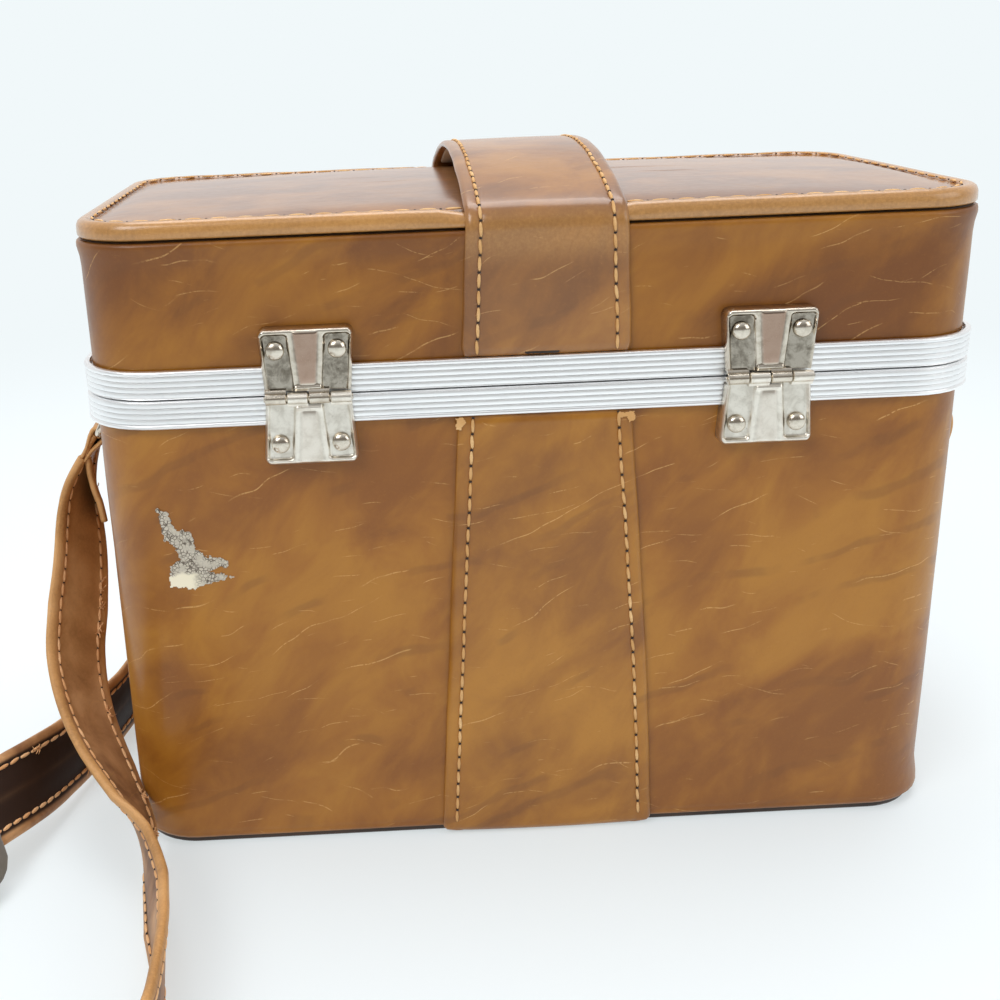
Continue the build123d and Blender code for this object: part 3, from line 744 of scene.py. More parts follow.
def frames_along(line, lay_at, pace=0.0):
    """Place, heading, width and face directions and distance for each point; pace is a set distance."""
    frames = []
    run = 0.0
    last = len(line) - 1
    for i, place in enumerate(line):
        heading = (line[min(i + 1, last)] - line[max(i - 1, 0)]).normalized()
        lay = lay_at(i / last)
        lay = (lay - heading * lay.dot(heading)).normalized()
        if i:
            run += pace or (place - line[i - 1]).length
        frames.append((place, heading, lay, heading.cross(lay), run))
    return frames


strap_line = frames_along(spline_points(strap_route, 16), lay_of)
strap_length = strap_line[-1][4]
print("strap length", round(strap_length), "mm in", len(strap_line), "points")

# %% [markdown]
# The strap's mesh is a ribbon along that line. Across it runs a closed profile: two flat faces, a
# rounded hem along both edges and a shallow valley under each seam. Painted light and shade follow the
# profile, a painted highlight on the hems and painted shade in the valleys, so they are an attribute of
# the mesh, called bead like the one of the top panel.


# %% Strap ribbon
def ribbon_profile(width, thick, hem=4.2, swell=0.35):
    """Closed profile as (across, out) pairs, with swollen hems."""
    half = width / 2
    face = thick / 2
    across = [-half + 0.5, -half + hem * 0.45, -half + hem, -half + hem + 0.9, -half * 0.4, 0.0]
    out = [face * 0.72, face + swell, face - 0.05, face - 0.3, face - 0.05, face]
    top = list(zip(across, out))
    top += [(-a, o) for a, o in reversed(top[:-1])]
    edge = [(half - 0.05, face * 0.4), (half, 0.0), (half - 0.05, -face * 0.4)]
    low = [(a, -o) for a, o in reversed(top)]
    return top + edge + low + [(-a, -o) for a, o in edge]


def tone_ribbon(made, frames, profile):
    """Painted light and shade: a painted highlight on the hems and at the start, painted shade in the
    valley along each seam, and far along, painted shade on the back.
    """
    half = max(across for across, _ in profile)
    tones = []
    for *_, run in frames:
        # Painted shade in the valley along each seam, deeper further along the strap.
        valley = 0.06 + 0.42 * smooth_step(70.0, 180.0, run)
        # A painted highlight near the start, where the flap shades the strap.
        pale = 0.55 * (1 - smooth_step(60.0, 150.0, run))
        # Far along, the back face gets painted shade.
        far = smooth_step(450.0, 600.0, run)
        for across, out in profile:
            hem = 1 - smooth_step(2.2, 4.4, half - abs(across))
            middle = 1 - smooth_step(0.0, 9.0, abs(across))
            # The hems get a painted highlight.
            tone = 0.75 * hem + (1 - hem) * (pale - valley * (1 - middle))
            if out < -0.2:
                tone -= far * (0.6 + 0.25 * (1 - hem))
            tones.append(tone)
    made.data.attributes.new("bead", "FLOAT", "POINT").data.foreach_set("value", tones)


def ribbon_rows(frames, profile, wobble=0.0, seed=3.0):
    """Rows of points along the frames."""
    rows = []
    for place, _, lay, out, run in frames:
        row = []
        for a, o in profile:
            ruffle = wobble * ripple(run, a * 2, 0, 24.0, seed)
            row.append(place + lay * a + out * (o + ruffle))
        rows.append(row)
    return rows


def seams_along(frames, across, out_height, skip=(0, 0)):
    """A seam line along the frames, at a distance across, on one side."""
    side = 1 if out_height > 0 else -1
    used = frames[skip[0]: len(frames) - skip[1]]
    return [(place + lay * across + out * out_height, out * side) for place, _, lay, out, _ in used]


strap_profile = ribbon_profile(strap_width, strap_thick - 0.5)
strap = swept("shoulder strap", ribbon_rows(strap_line, strap_profile, 0.22), vinyl_strap)
tone_ribbon(strap, strap_line, strap_profile)
seam_across = strap_width / 2 - 4.9
strap_face = strap_thick / 2 - 0.35
strap_seams = []
for across in (-seam_across, seam_across):
    strap_seams.append(seams_along(strap_line, across, strap_face, (4, 4)))
    strap_seams.append(seams_along(strap_line, across, -strap_face, (4, 4)))
print("strap faces", len(strap.data.polygons))


# %% Frayed threads on the strap's hems
def frayed_threads(frames, runs, seed):
    """Tufts of torn thread on the strap's seams, as short tapering curls."""
    points = []
    faces = []
    for index, (share, side, face) in enumerate(runs):
        place, heading, lay, out, _ = frames[int(share * (len(frames) - 1))]
        for strand in range(6):
            turn = index * 2.1 + strand * 1.15 + 0.8 * ripple(index * 7.3, strand * 5.1, seed, 1.7, seed)
            way = heading * math.cos(turn) + lay * math.sin(turn)
            reach = 2.4 + 1.5 * ripple(strand * 3.7, index * 4.3, seed, 1.3, seed)
            start = place + lay * (side * seam_across) + out * (face * strap_face)
            start = start + heading * (strand * 0.5)
            first = len(points)
            for step in range(7):
                t = step / 6
                centre = start + way * (reach * t) + out * (face * (0.2 + 1.3 * math.sin(2.4 * t)))
                centre = centre + heading * (0.9 * math.sin(3.0 * t + turn))
                spread = 0.42 * (1 - 0.6 * t)
                points += [centre + way_out * spread for way_out in (lay, out, -lay, -out)]
            faces += [tuple(first + corner for corner in face) for face in row_faces(7, 4, True, False)]
    return build_mesh("strap frays", points, faces)


fray_places = [(0.028, 1, 1), (0.092, 1, 1), (0.105, 1, 1), (0.12, 1, 1), (0.172, 1, 1), (0.222, 1, 1)]
fray_places += [(0.24, 1, 1), (0.258, 1, 1), (0.6, -1, -1), (0.618, 1, -1)]
frays = put_in_scene("strap frays", frayed_threads(strap_line, fray_places, 4.0), strap_thread)
print("frayed places:", len(fray_places))

# %% [markdown]
# ## Plans of the box
#
# The box is a rounded rectangle seen from above. A plan can be drawn in or out by an inset, with the
# same count of points at every inset, so rings at different heights join into walls. A bevelled box
# would have the corners too, but not this plain link between one ring and the next.

# %% Plan and wall helpers
case_width = 305.0
case_depth = 160.0
corner_radius = 24.0
half_x = case_width / 2
half_y = case_depth / 2
split = 175.0
cover_gap = 2.0


def plan(inset, steps=9, long_cuts=24, short_cuts=12):
    """Points and outward directions of the plan, anticlockwise from the right-hand side."""
    radius = corner_radius - inset
    places = []
    flat_x = half_x - corner_radius
    flat_y = half_y - corner_radius
    corners = [(flat_x, flat_y, 0), (-flat_x, flat_y, 90), (-flat_x, -flat_y, 180), (flat_x, -flat_y, 270)]
    for index, (cx, cy, start) in enumerate(corners):
        for step in range(steps + 1):
            angle = math.radians(start + 90 * step / steps)
            way = (math.cos(angle), math.sin(angle))
            places.append((cx + way[0] * radius, cy + way[1] * radius, way))
        cuts = long_cuts if index % 2 == 0 else short_cuts
        nx, ny, next_start = corners[(index + 1) % 4]
        way = (math.cos(math.radians(next_start)), math.sin(math.radians(next_start)))
        for step in range(1, cuts):
            share = step / cuts
            x = cx + (nx - cx) * share + way[0] * radius
            y = cy + (ny - cy) * share + way[1] * radius
            places.append((x, y, way))
    return places


def ring_rows(profile, bulge=None):
    """One closed profile of (inset, height) pairs at each point of the plan."""
    rows = []
    for x, y, way in plan(0):
        row = []
        for inset, z in profile:
            extra = bulge(x, y, z, inset) if bulge else 0.0
            row.append((x - way[0] * (inset - extra), y - way[1] * (inset - extra), z))
        rows.append(row)
    return rows


def around_ring(name, profile, material, bulge=None, sharp=0.0):
    """A closed ring round the case."""
    return swept(name, ring_rows(profile, bulge), material, True, True, sharp)


def levels(low, high, count):
    return [low + (high - low) * i / count for i in range(count + 1)]


# %% [markdown]
# ## The covered walls
#
# The vinyl of the base bulges a little at its foot, where the board behind it has softened, and
# more so at the hinge side's right-hand corner. The lid's skirt flares out just under the top panel.
# These forms could be sculpted. A bulge written as a function of the place stays smooth and small,
# and the scuff below can ask it where the wall is.


# %% Base cover
def corner_closeness(x, y, cx, cy, reach):
    """1 at a corner of the case, 0 beyond a reach."""
    away = math.hypot(x - cx, y - cy)
    return 1 - smooth_step(0.0, reach, away)


def base_bulge(x, y, z, inset):
    if inset > 0.6:
        return 0.0
    foot = 1 - smooth_step(4.0, 15.0, z)
    low_edge = smooth_step(2.6, 5.0, z)
    corner = corner_closeness(x, y, half_x, -half_y, 60.0)
    corner += 0.5 * corner_closeness(x, y, -half_x, -half_y, 50.0)
    swell = foot * low_edge * (0.35 + 1.3 * corner)
    return swell + 0.16 * ripple(x, y, z, 26.0, 2.0) + 0.05 * ripple(x, y, z, 8.0, 7.0)


base_profile = [(0.9, 3.2), (0.55, 2.75), (0.2, 2.9), (0.05, 3.5), (0.05, 4.4), (0.3, 4.9), (0.08, 5.5)]
base_profile += [(0.0, z) for z in levels(7.0, 164.0, 22)]
base_profile += [(0.05, split - cover_gap), (1.0, split - cover_gap), (1.0, 90.0), (1.0, 20.0)]
base_cover = around_ring("base cover", base_profile, vinyl_base, base_bulge)
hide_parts("base_cover")
print("base cover faces", len(base_cover.data.polygons))


# %% Lid cover
def lid_bulge(x, y, z, inset):
    if inset > 0.6:
        return 0.0
    flare = smooth_step(219.0, 225.5, z)
    return flare + 0.14 * ripple(x, y, z, 24.0, 11.0)


lid_profile = [(1.0, split + cover_gap), (0.05, split + cover_gap), (0.0, 186.0)]
lid_profile += [(0.0, z) for z in levels(190.0, 224.5, 10)]
lid_profile += [(0.1, 225.7), (0.35, 226.5), (0.8, 226.9), (1.0, 226.6), (1.0, 215.0), (1.0, 195.0)]
lid_cover = around_ring("lid cover", lid_profile, vinyl_lid, lid_bulge)
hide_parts("lid_cover")
print("lid cover faces", len(lid_cover.data.polygons))

# %% [markdown]
# ### The scuff
#
# A spot at the hinge wall's left has lost its print: a torn wedge that is cream at its lower left, where
# the bare backing shows, and grey with dark cracks above. A mask in the vinyl's material could show
# it, but then its torn edge would be only as sharp as a baked picture. So it is a thin ragged patch
# on the wall. A fine grid is laid over its measured outline, and a noise decides which cells near
# the edge stay.

# %% Ragged patches
scuff_outline = [(-131.6, 136.0), (-128.6, 134.6), (-126.4, 128.4), (-121.4, 127.0), (-120.2, 122.0)]
scuff_outline += [(-117.2, 118.0), (-108.9, 115.9), (-109.2, 113.4), (-116.6, 112.0), (-107.2, 109.2)]
scuff_outline += [(-114.2, 107.6), (-121.6, 105.7), (-129.9, 106.6), (-129.6, 109.5), (-128.8, 114.6)]
scuff_outline += [(-125.4, 116.3), (-126.8, 122.4), (-130.2, 124.6)]


def distance_inside(x, z, outline):
    """Distance to a closed outline, positive inside it."""
    inside = False
    nearest = 1e9
    for (ax, az), (bx, bz) in zip(outline, outline[1:] + outline[:1]):
        if (az > z) != (bz > z) and x < ax + (z - az) / (bz - az) * (bx - ax):
            inside = not inside
        along = ((x - ax) * (bx - ax) + (z - az) * (bz - az)) / ((bx - ax) ** 2 + (bz - az) ** 2)
        along = min(1.0, max(0.0, along))
        nearest = min(nearest, math.hypot(x - ax - along * (bx - ax), z - az - along * (bz - az)))
    return nearest if inside else -nearest


def ragged_patch(name, outline, cell, raggedness, surface, material):
    """A patch of small cells inside an outline, with a torn edge."""
    xs = [x for x, _ in outline]
    zs = [z for _, z in outline]
    points = []
    faces = []
    index = {}

    def corner(i, k):
        if (i, k) not in index:
            x = min(xs) - 2 + i * cell + 0.35 * cell * ripple(i, k, 0, 0.9, 1.0)
            z = min(zs) - 2 + k * cell + 0.35 * cell * ripple(i, k, 0, 0.9, 5.0)
            index[i, k] = len(points)
            points.append(surface(x, z))
        return index[i, k]

    for i in range(int((max(xs) - min(xs) + 4) / cell)):
        for k in range(int((max(zs) - min(zs) + 4) / cell)):
            x = min(xs) - 2 + (i + 0.5) * cell
            z = min(zs) - 2 + (k + 0.5) * cell
            torn = raggedness * (ripple(x, 0, z, 1.9, 4.0) + 0.7 * ripple(x, 0, z, 0.8, 9.0))
            if distance_inside(x, z, outline) + torn > 0:
                faces.append((corner(i, k), corner(i, k + 1), corner(i + 1, k + 1), corner(i + 1, k)))
    mesh = bpy.data.meshes.new(name)
    mesh.from_pydata([Vector(p) * MM for p in points], [], faces)
    made = put_in_scene(name, mesh, material)
    made.modifiers.new("thickness", "SOLIDIFY").thickness = 0.15 * MM
    return evaluated(made)


def base_wall_face(x, z):
    """A place on the hinge wall's vinyl, just proud of it."""
    return (x, -half_y - base_bulge(x, -half_y, z, 0) - 0.07, z)


# %% Scuff
backing, graph = new_material("bare backing")
here = graph.here()
x, y, z = graph.axes(here)
inputs = {"Vector": here, "Scale": 850.0}
crackle = graph.add("ShaderNodeTexVoronoi", {"feature": "DISTANCE_TO_EDGE"}, inputs, "Distance")
crack = (1 - graph.between(crackle, 0.03, 0.16)) * graph.between(graph.noise(here, 300.0), 0.36, 0.55)
low_down = 1 - graph.between(z + graph.noise(here, 150.0) * 0.004, 0.1125, 0.1145)
bare = low_down * (1 - graph.between(x, -0.1225, -0.1175))
tone = graph.blend(graph.noise(here, 600.0, 3.0, 0.7), linear(172, 162, 144), linear(222, 215, 200))
tone = graph.blend(bare, tone, linear(243, 234, 208))
tone = graph.blend(crack * (1 - bare) * 0.85, tone, linear(62, 44, 30))
graph.finish_principled(Base_Color=tone, Roughness=0.85)
scuff = ragged_patch("scuff", scuff_outline, 0.34, 0.9, base_wall_face, backing)
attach(scuff, "root")
print("scuff faces", len(scuff.data.polygons))

# %% [markdown]
# ## The valance
#
# Each half of the metal frame is an extrusion with four rounded ribs and a wider lip at its outer
# edge, a web over the board, and a flange inside. Ribs could be an array bent round the corners. Here
# the section is drawn once, as pairs of inset and height, and the plan carries it round the case.


# %% Valance
def rib_line(low, high, count, out, depth, steps=5):
    """Rounded ribs between two heights, as (inset, height) pairs."""
    pitch = (high - low) / count
    line = []
    for n in range(count):
        for step in range(steps + 1):
            angle = math.pi * step / steps
            lift = math.sin(angle) ** 0.45
            line.append((-(out - depth) - depth * lift, low + pitch * (n + (1 - math.cos(angle)) / 2)))
    return line


def valance_half_profile(mouth_up):
    """Outer lip, ribs, mouth edge, web and flange of one half, drawn as if its mouth faces up."""
    line = [(0.05, 2.2), (-1.0, 2.1), (-1.1, 0.0), (-2.0, 0.0)]
    line += [(-2.75, 0.18), (-3.0, 0.6), (-3.0, 1.25), (-2.75, 1.6)]
    line += rib_line(1.7, 9.2, 4, 2.85, 0.5)
    line += [(-2.5, 9.45), (-2.3, 9.7), (-1.9, 9.8)]
    line += [(5.9, 9.8), (5.9, -2.2), (5.0, -2.2), (5.0, 8.2), (0.05, 8.2)]
    if mouth_up:
        return [(inset, split - 10.0 + z) for inset, z in line]
    return [(inset, split + 10.0 - z) for inset, z in line]


base_valance = around_ring("base valance", valance_half_profile(True), aluminium, None, math.radians(50))
lid_valance = around_ring("lid valance", valance_half_profile(False), aluminium, None, math.radians(50))
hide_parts("base_valance")
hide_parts("lid_valance")
print("valance faces", len(base_valance.data.polygons), len(lid_valance.data.polygons))

# %% [markdown]
# ## The top panel
#
# A crowned panel with a rolled bead at its rim. A sewn groove parts the two. The vinyl puckers at
# every stitch, so the bead has small waves at the stitch pitch, and the strip presses it down. A
# cloth simulation could pucker it, but a wave with the stitch's own pitch comes out the same each
# time and stays in step with the threads.

# %% Crown and bead
case_top = 236.4
crown_inset = 5.5
strip_centre = 3.0
crown_foot = 232.4
rim_pitch = 8.4


def crown_height(x, y):
    """Height of the crowned middle."""
    share_y = min(1.0, abs(y) / (half_y - crown_inset))
    share_x = min(1.0, abs(x) / (half_x - crown_inset))
    return case_top - 2.8 * share_y**2 - 2.2 * share_x**2


def crown_soft(x, y):
    return crown_height(x, y) + 0.3 + 0.15 * ripple(x, y, 0, 18.0, 6.0)


def under_strip(x, y):
    """1 where the strip crosses the rim, 0 beside it."""
    beside = 1 - smooth_step(26.5, 29.5, abs(x - strip_centre))
    return beside * smooth_step(half_y - 9, half_y - 4, abs(y))


def panel_mesh():
    """The bead's outside, the groove and the crown, then the flat underside."""
    bead = [(0.8, 227.7), (0.1, 227.75), (-0.35, 228.4), (-0.4, 229.8), (-0.3, 231.4), (0.25, 232.7)]
    bead += [(1.3, 233.5), (2.7, 233.75), (4.1, 233.4), (5.0, 232.6), (5.5, 232.2), (6.0, 232.7)]
    crown = [6.6, 7.6, 9.0, 11.0, 13.5, 17.0, 22.0]
    base = plan(0)
    around = 0.0
    rows = []
    for index, (x, y, way) in enumerate(base):
        before = base[index - 1]
        around += math.hypot(x - before[0], y - before[1]) if index else 0.0
        row = []
        for inset, z in bead:
            wave = math.sin(around / rim_pitch * 2 * math.pi)
            pucker = 0.26 * wave * math.exp(-((inset - 4.4) / 2.0) ** 2)
            dent = under_strip(x, y)
            lumps = 0.10 * ripple(x, y, z, 13.0, 3.0) * smooth_step(228.0, 230.0, z)
            sunk = z + (pucker + lumps) * smooth_step(228.0, 231.0, z) - dent * max(0.0, z - 229.4) * 0.45
            drawn = inset + dent * smooth_step(229.0, 231.5, z) * (1 - smooth_step(1.0, 5.0, inset))
            row.append((x - way[0] * drawn, y - way[1] * drawn, sunk))
        for inset in crown:
            px = x - way[0] * inset
            py = y - way[1] * inset
            rise = 1 - (1 - min(1.0, (inset - 5.6) / 14.0)) ** 2.4
            row.append((px, py, crown_foot + (crown_soft(px, py) - crown_foot) * rise))
        rows.append(row)
    return rows, len(bead) + len(crown)


# %% Top panel
def cap_grid(rim, height_of):
    """Fills a closed rim with shrinking rings towards the middle, at heights that a function gives.
    The rim itself gets no face of its own, so that one is taken out again."""
    rings = [1.0, 0.86, 0.72, 0.58, 0.44, 0.3, 0.16]
    spine_reach = 72.0
    points = []
    for ring_share in rings:
        for x, y, z in rim:
            spine = max(-spine_reach, min(spine_reach, x)) * (1 - ring_share)
            px = spine + (x - spine) * ring_share if ring_share < 1 else x
            py = y * ring_share
            points.append((px, py, height_of(px, py) if ring_share < 1 else z))
    faces = row_faces(len(rings), len(rim), True, False)
    del faces[-2]
    return points, faces


panel_rows, panel_wide = panel_mesh()
panel_points = [p for row in panel_rows for p in row]
panel_faces = row_faces(len(panel_rows), panel_wide, False, True)
cap_points, cap_faces = cap_grid([row[-1] for row in panel_rows], crown_soft)
offset = len(panel_points)
panel_points += cap_points
panel_faces += [tuple(offset + i for i in face) for face in cap_faces]
offset = len(panel_points)
panel_points += [row[0] for row in panel_rows]
panel_faces.append(tuple(range(offset, len(panel_points))))
top_mesh = build_mesh("top panel", panel_points, panel_faces)
# The bead attribute marks the rolled bead, where the vinyl paints a pale highlight for the glints it
# catches.
bead = top_mesh.attributes.new("bead", "FLOAT", "POINT")
for vertex, value in zip(top_mesh.vertices, bead.data):
    over_x = abs(vertex.co.x) / MM - half_x + corner_radius
    over_y = abs(vertex.co.y) / MM - half_y + corner_radius
    outward = math.hypot(over_x, over_y) if min(over_x, over_y) > 0 else max(over_x, over_y)
    value.value = 1 - smooth_step(3.7, 4.8, corner_radius - outward)
top_panel = put_in_scene("top panel", top_mesh, vinyl_top)
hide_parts("top_panel")


def rim_seam(inset, z):
    """A line round the case at one inset, closed on itself, that faces up."""
    line = [((x - way[0] * inset, y - way[1] * inset, z), (0, 0, 1)) for x, y, way in plan(0, 12, 40, 20)]
    return line + line[:1]


print("top panel faces", len(top_panel.data.polygons))

# %% [markdown]
# ## The sewn strip
#
# One strip covers the middle of the hinge wall and the latch wall of the base. A second one runs up
# the lid's wall, turns over the bead, arches across the top panel as the handle and goes down again.
# Its edges are turned under, so there is a soft ridge outside each seam and a valley at the seam.
# A flat band with a thickness would look like card. So each strip is one closed section, with its
# hems drawn in, swept along the wall or over the top, and its seams keep their distance from the edge.

# %% Strip section
strip_gap = 0.1
strip_thick = 2.2
strip_face = half_y + strip_gap + strip_thick
hem_to_seam = 4.9
strip_top = 164.8


def strip_cross(left, right, thick, seam_in=hem_to_seam, cuts=9):
    """Closed cross-section between two edges, as (across, out) pairs; out is 0 at the outer face."""
    lift = [(0.0, -thick * 0.5), (0.12, -0.95), (0.6, -0.32), (1.5, 0.08), (2.7, 0.14)]
    lift += [(seam_in - 0.9, -0.1), (seam_in, -0.38), (seam_in + 0.9, -0.12), (seam_in + 2.4, 0.0)]
    front = [(left + a, o) for a, o in lift]
    inner_left = left + seam_in + 2.4
    inner_right = right - seam_in - 2.4
    for n in range(1, cuts):
        front.append((inner_left + (inner_right - inner_left) * n / cuts, 0.0))
    front += [(right - a, o) for a, o in reversed(lift)]
    back = [(right - 0.25, -thick + 0.25), (right - 0.9, -thick)]
    back += [(left + 0.9, -thick), (left + 0.25, -thick + 0.25)]
    return front + back


def seen_across(across, side):
    """The latch side's strip is the hinge side's, mirrored about the strip's middle."""
    return 2 * strip_centre - across if side > 0 else across


def strip_profile_at(left, right, edges, thin, bow_of):
    """Across and depth of the section's points, bowed outward on the face and thinner at an end."""
    profile = []
    for a, o in strip_cross(*edges, strip_thick):
        lifted = bow_of(a, math.sin(math.pi * (a - left) / (right - left))) if o > -1.2 else 0.0
        profile.append((a, (o + strip_thick) * thin - strip_thick + lifted))
    return profile


# %% Base strip rows and seams
def base_strip_rows(side):
    """Rows up a base strip. The hinge-side one was measured; its foot hangs over the bottom edge."""
    marks = [(1.0, -36.0, 43.4), (6.0, -35.7, 43.2), (40.0, -33.8, 41.4), (81.0, -31.6, 39.0)]
    marks += [(120.0, -29.5, 35.8), (150.0, -27.8, 33.2), (strip_top, -27.0, 32.0)]
    heights = [1.0, 1.3, 2.0, 3.2, 5.0, 8.0, 12.0] + levels(18.0, 158.0, 28)
    heights += [161.5, 163.6, 164.5, strip_top]
    rows = []
    edges = []
    for z in heights:
        for (low_z, low_l, low_r), (high_z, high_l, high_r) in zip(marks, marks[1:]):
            if low_z <= z <= high_z:
                share = (z - low_z) / (high_z - low_z)
                left = low_l + (high_l - low_l) * share
                right = low_r + (high_r - low_r) * share
        corner = max(0.0, 1 - (z - 1.0) / 3.4)
        cut = 3.4 * (1 - math.sqrt(max(0.0, 1 - corner * corner)))
        left += cut + 0.25 * ripple(0, 3, z, 21.0, 1.0)
        right -= cut + 0.25 * ripple(5, 3, z, 23.0, 2.0)
        thin = 1 - 0.6 * (1 - smooth_step(1.0, 2.6, z)) - 0.45 * smooth_step(strip_top - 1.0, strip_top, z)
        edges.append((z, left, right))
        foot = 0.5 * (1 - smooth_step(2.0, 14.0, z))

        def bow(a, arch):
            return (0.22 + foot) * arch + 0.12 * ripple(a, 0, z, 17.0, 3.0)

        profile = strip_profile_at(left, right, (left, right), thin, bow)
        rows.append([(seen_across(a, side), side * (strip_face + depth), z) for a, depth in profile])
    return rows, edges


def seam_pair(marks, mark_seam):
    """Two seams a hem's width inside a strip's edges; marks start with the left and right edge."""
    lefts = [mark_seam(left + hem_to_seam, *rest) for left, _, *rest in marks]
    rights = [mark_seam(right - hem_to_seam, *rest) for _, right, *rest in marks]
    return [lefts, rights]


def base_strip_seams(edges, side):
    """Two seams up a base strip."""
    marks = [(left, right, z) for z, left, right in edges if 5.0 < z < 162.5]

    def mark_seam(across, z):
        return (seen_across(across, side), side * (strip_face + 0.02), z), (0, side, 0)

    return seam_pair(marks, mark_seam)


# %% Base strips
back_rows, back_edges = base_strip_rows(-1)
back_strip = swept("back strip", back_rows, vinyl_strip)
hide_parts("back_strip")
front_rows, front_edges = base_strip_rows(1)
front_strip = swept("front strip", front_rows, vinyl_strip)
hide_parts("front_strip")
sew("back strip stitches", base_strip_seams(back_edges, -1), "root", "strip_vinyl")
sew("front strip stitches", base_strip_seams(front_edges, 1), "root", "strip_vinyl")

# %% Torn corners of the back strip
def strip_surface(x, z):
    """A place just proud of the back strip."""
    return (x, -strip_face - 0.3, z)


torn_left = [(-28.0, 164.3), (-25.4, 164.5), (-24.6, 163.0)]
torn_left += [(-25.9, 161.6), (-26.2, 160.2), (-27.9, 160.6)]
torn_right = [(27.4, 164.2), (32.4, 164.3), (32.9, 161.2)]
torn_right += [(31.0, 160.6), (30.2, 162.4), (28.0, 162.6)]
torn = []
for number, outline in enumerate((torn_left, torn_right)):
    torn.append(ragged_patch(f"torn {number}", outline, 0.26, 0.5, strip_surface, thread))
torn_corners = joined("torn corners", torn, thread)
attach(torn_corners, "root")
print("torn corners:", len(torn))

# %% Handle strip line
handle_foot = 185.2
handle_left = -23.6
handle_right = 29.4
turn_height = 227.2
turn_radius = 8.6
half_arch = math.radians(20.5)
arch_start_y = strip_face - turn_radius + turn_radius * math.sin(half_arch)
arch_start_z = turn_height + turn_radius * math.cos(half_arch)
arch_radius = arch_start_y / math.sin(half_arch)
arch_centre_z = arch_start_z - arch_radius * math.cos(half_arch)


def handle_line():
    """The outer face's line from the hinge side over the top, as (y, z, out y, out z) quads."""
    wall = [handle_foot, 185.6, 186.6, 188.5] + levels(191.0, 226.4, 14)
    line = [(-strip_face, z, -1.0, 0.0) for z in wall]
    turn_sweep = math.pi / 2 - half_arch
    for step in range(1, 9):
        angle = turn_sweep * step / 8
        out = (-math.cos(angle), math.sin(angle))
        middle = (-strip_face + turn_radius, turn_height)
        line.append((middle[0] + out[0] * turn_radius, middle[1] + out[1] * turn_radius, *out))
    one_side = len(line)
    for step in range(1, 36):
        angle = -half_arch + 2 * half_arch * step / 36
        out = (math.sin(angle), math.cos(angle))
        line.append((out[0] * arch_radius, arch_centre_z + out[1] * arch_radius, *out))
    return line + [(-y, z, -oy, oz) for y, z, oy, oz in reversed(line[:one_side])]


def handle_edges(z, on_top):
    """The handle strip's two edges at a height; it widens downward on the wall."""
    share = 0.0 if on_top else min(1.0, max(0.0, (230.0 - z) / 50.0))
    return (handle_left - 2.1 * share, handle_right + 2.3 * share)


# %% Handle strip
handle_path = handle_line()
handle_rows = []
handle_marks = []
for y, z, oy, oz in handle_path:
    left, right = handle_edges(z, oz > 0.5)
    end = 1 - smooth_step(handle_foot, handle_foot + 3.0, z)
    thin = 1 - 0.45 * (1 - smooth_step(handle_foot, handle_foot + 1.2, z))
    wave = 0.3 * ripple(1, y, z, 19.0, 8.0)
    handle_marks.append((left + wave, right + wave, y, z, oy, oz))

    def bow(a, arch):
        return 0.3 * arch + 0.14 * ripple(a, y, z, 15.0, 5.0)

    edges = (left + wave + 0.8 * end, right + wave - 0.8 * end)
    profile = strip_profile_at(left, right, edges, thin, bow)
    handle_rows.append([(a, y + oy * depth, z + oz * depth) for a, depth in profile])
handle_strip = swept("handle strip", handle_rows, vinyl_handle)
# A painted highlight on the handle's wrap over the bead, carried by the bead attribute.
painted_wrap_highlight = []
for row in handle_rows:
    height = row[0][2]
    painted_highlight = 0.5 * smooth_step(210.0, 224.0, height) * (1 - smooth_step(229.0, 235.5, height))
    painted_wrap_highlight += [painted_highlight] * len(row)
handle_strip.data.attributes.new("bead", "FLOAT", "POINT").data.foreach_set("value", painted_wrap_highlight)
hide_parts("handle_strip")


def mark_handle_seam(across, y, z, oy, oz):
    return (across, y + oy * 0.05, z + oz * 0.05), (0, oy, oz)


handle_seams = seam_pair([mark for mark in handle_marks if mark[3] > 187.5], mark_handle_seam)
sew("handle strip stitches", handle_seams, "lid", "strip_vinyl")
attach(handle_strip, "lid")

# %% Handle lining
lining_profile = [(-20.6, -0.3), (-20.2, -0.05), (-10.0, 0.0), (3.0, 0.0), (16.0, 0.0)]
lining_profile += [(26.2, -0.05), (26.6, -0.3), (26.2, -1.25), (3.0, -1.3), (-20.2, -1.25)]
lining_rows = []
for y, z, oy, oz in handle_path:
    if oz > 0.5 and abs(y) < 65.5:
        row = []
        for a, o in lining_profile:
            depth = o - strip_thick - 0.02 + (0.12 * ripple(a, y, z, 12.0, 4.0) if o < -1 else 0.0)
            row.append((a, y + oy * depth, z + oz * depth))
        lining_rows.append(row)
handle_lining = swept("handle lining", lining_rows, cream_cloth)
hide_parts("handle_lining")
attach(handle_lining, "lid")
print("handle lining rows:", len(lining_rows))

# %% Slit in the strip
# The slit is a dark prism whose colour is painted shade, where the cut in the strip shows only shadow.
slit_points = []
for x, z in [(-4.6, 186.2), (-4.0, 185.7), (6.5, 185.6), (7.1, 186.1), (6.5, 187.0), (-4.0, 187.3)]:
    slit_points.append((x, -strip_face - 0.16, z))
slit_back = [(x, -strip_face + 0.6, z) for x, _, z in slit_points]
slit_faces = row_faces(2, len(slit_points), True, False)
slit_mesh = build_mesh("strip slit", slit_points + slit_back, slit_faces)
slit = put_in_scene("strip slit", slit_mesh, hole_shade)
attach(slit, "lid")
print("slit faces", len(slit_mesh.polygons))

# %% [markdown]
# ## The seam round the top panel
#
# The same sewing tree sews the groove at the bead. Its threads are thinner and further apart.

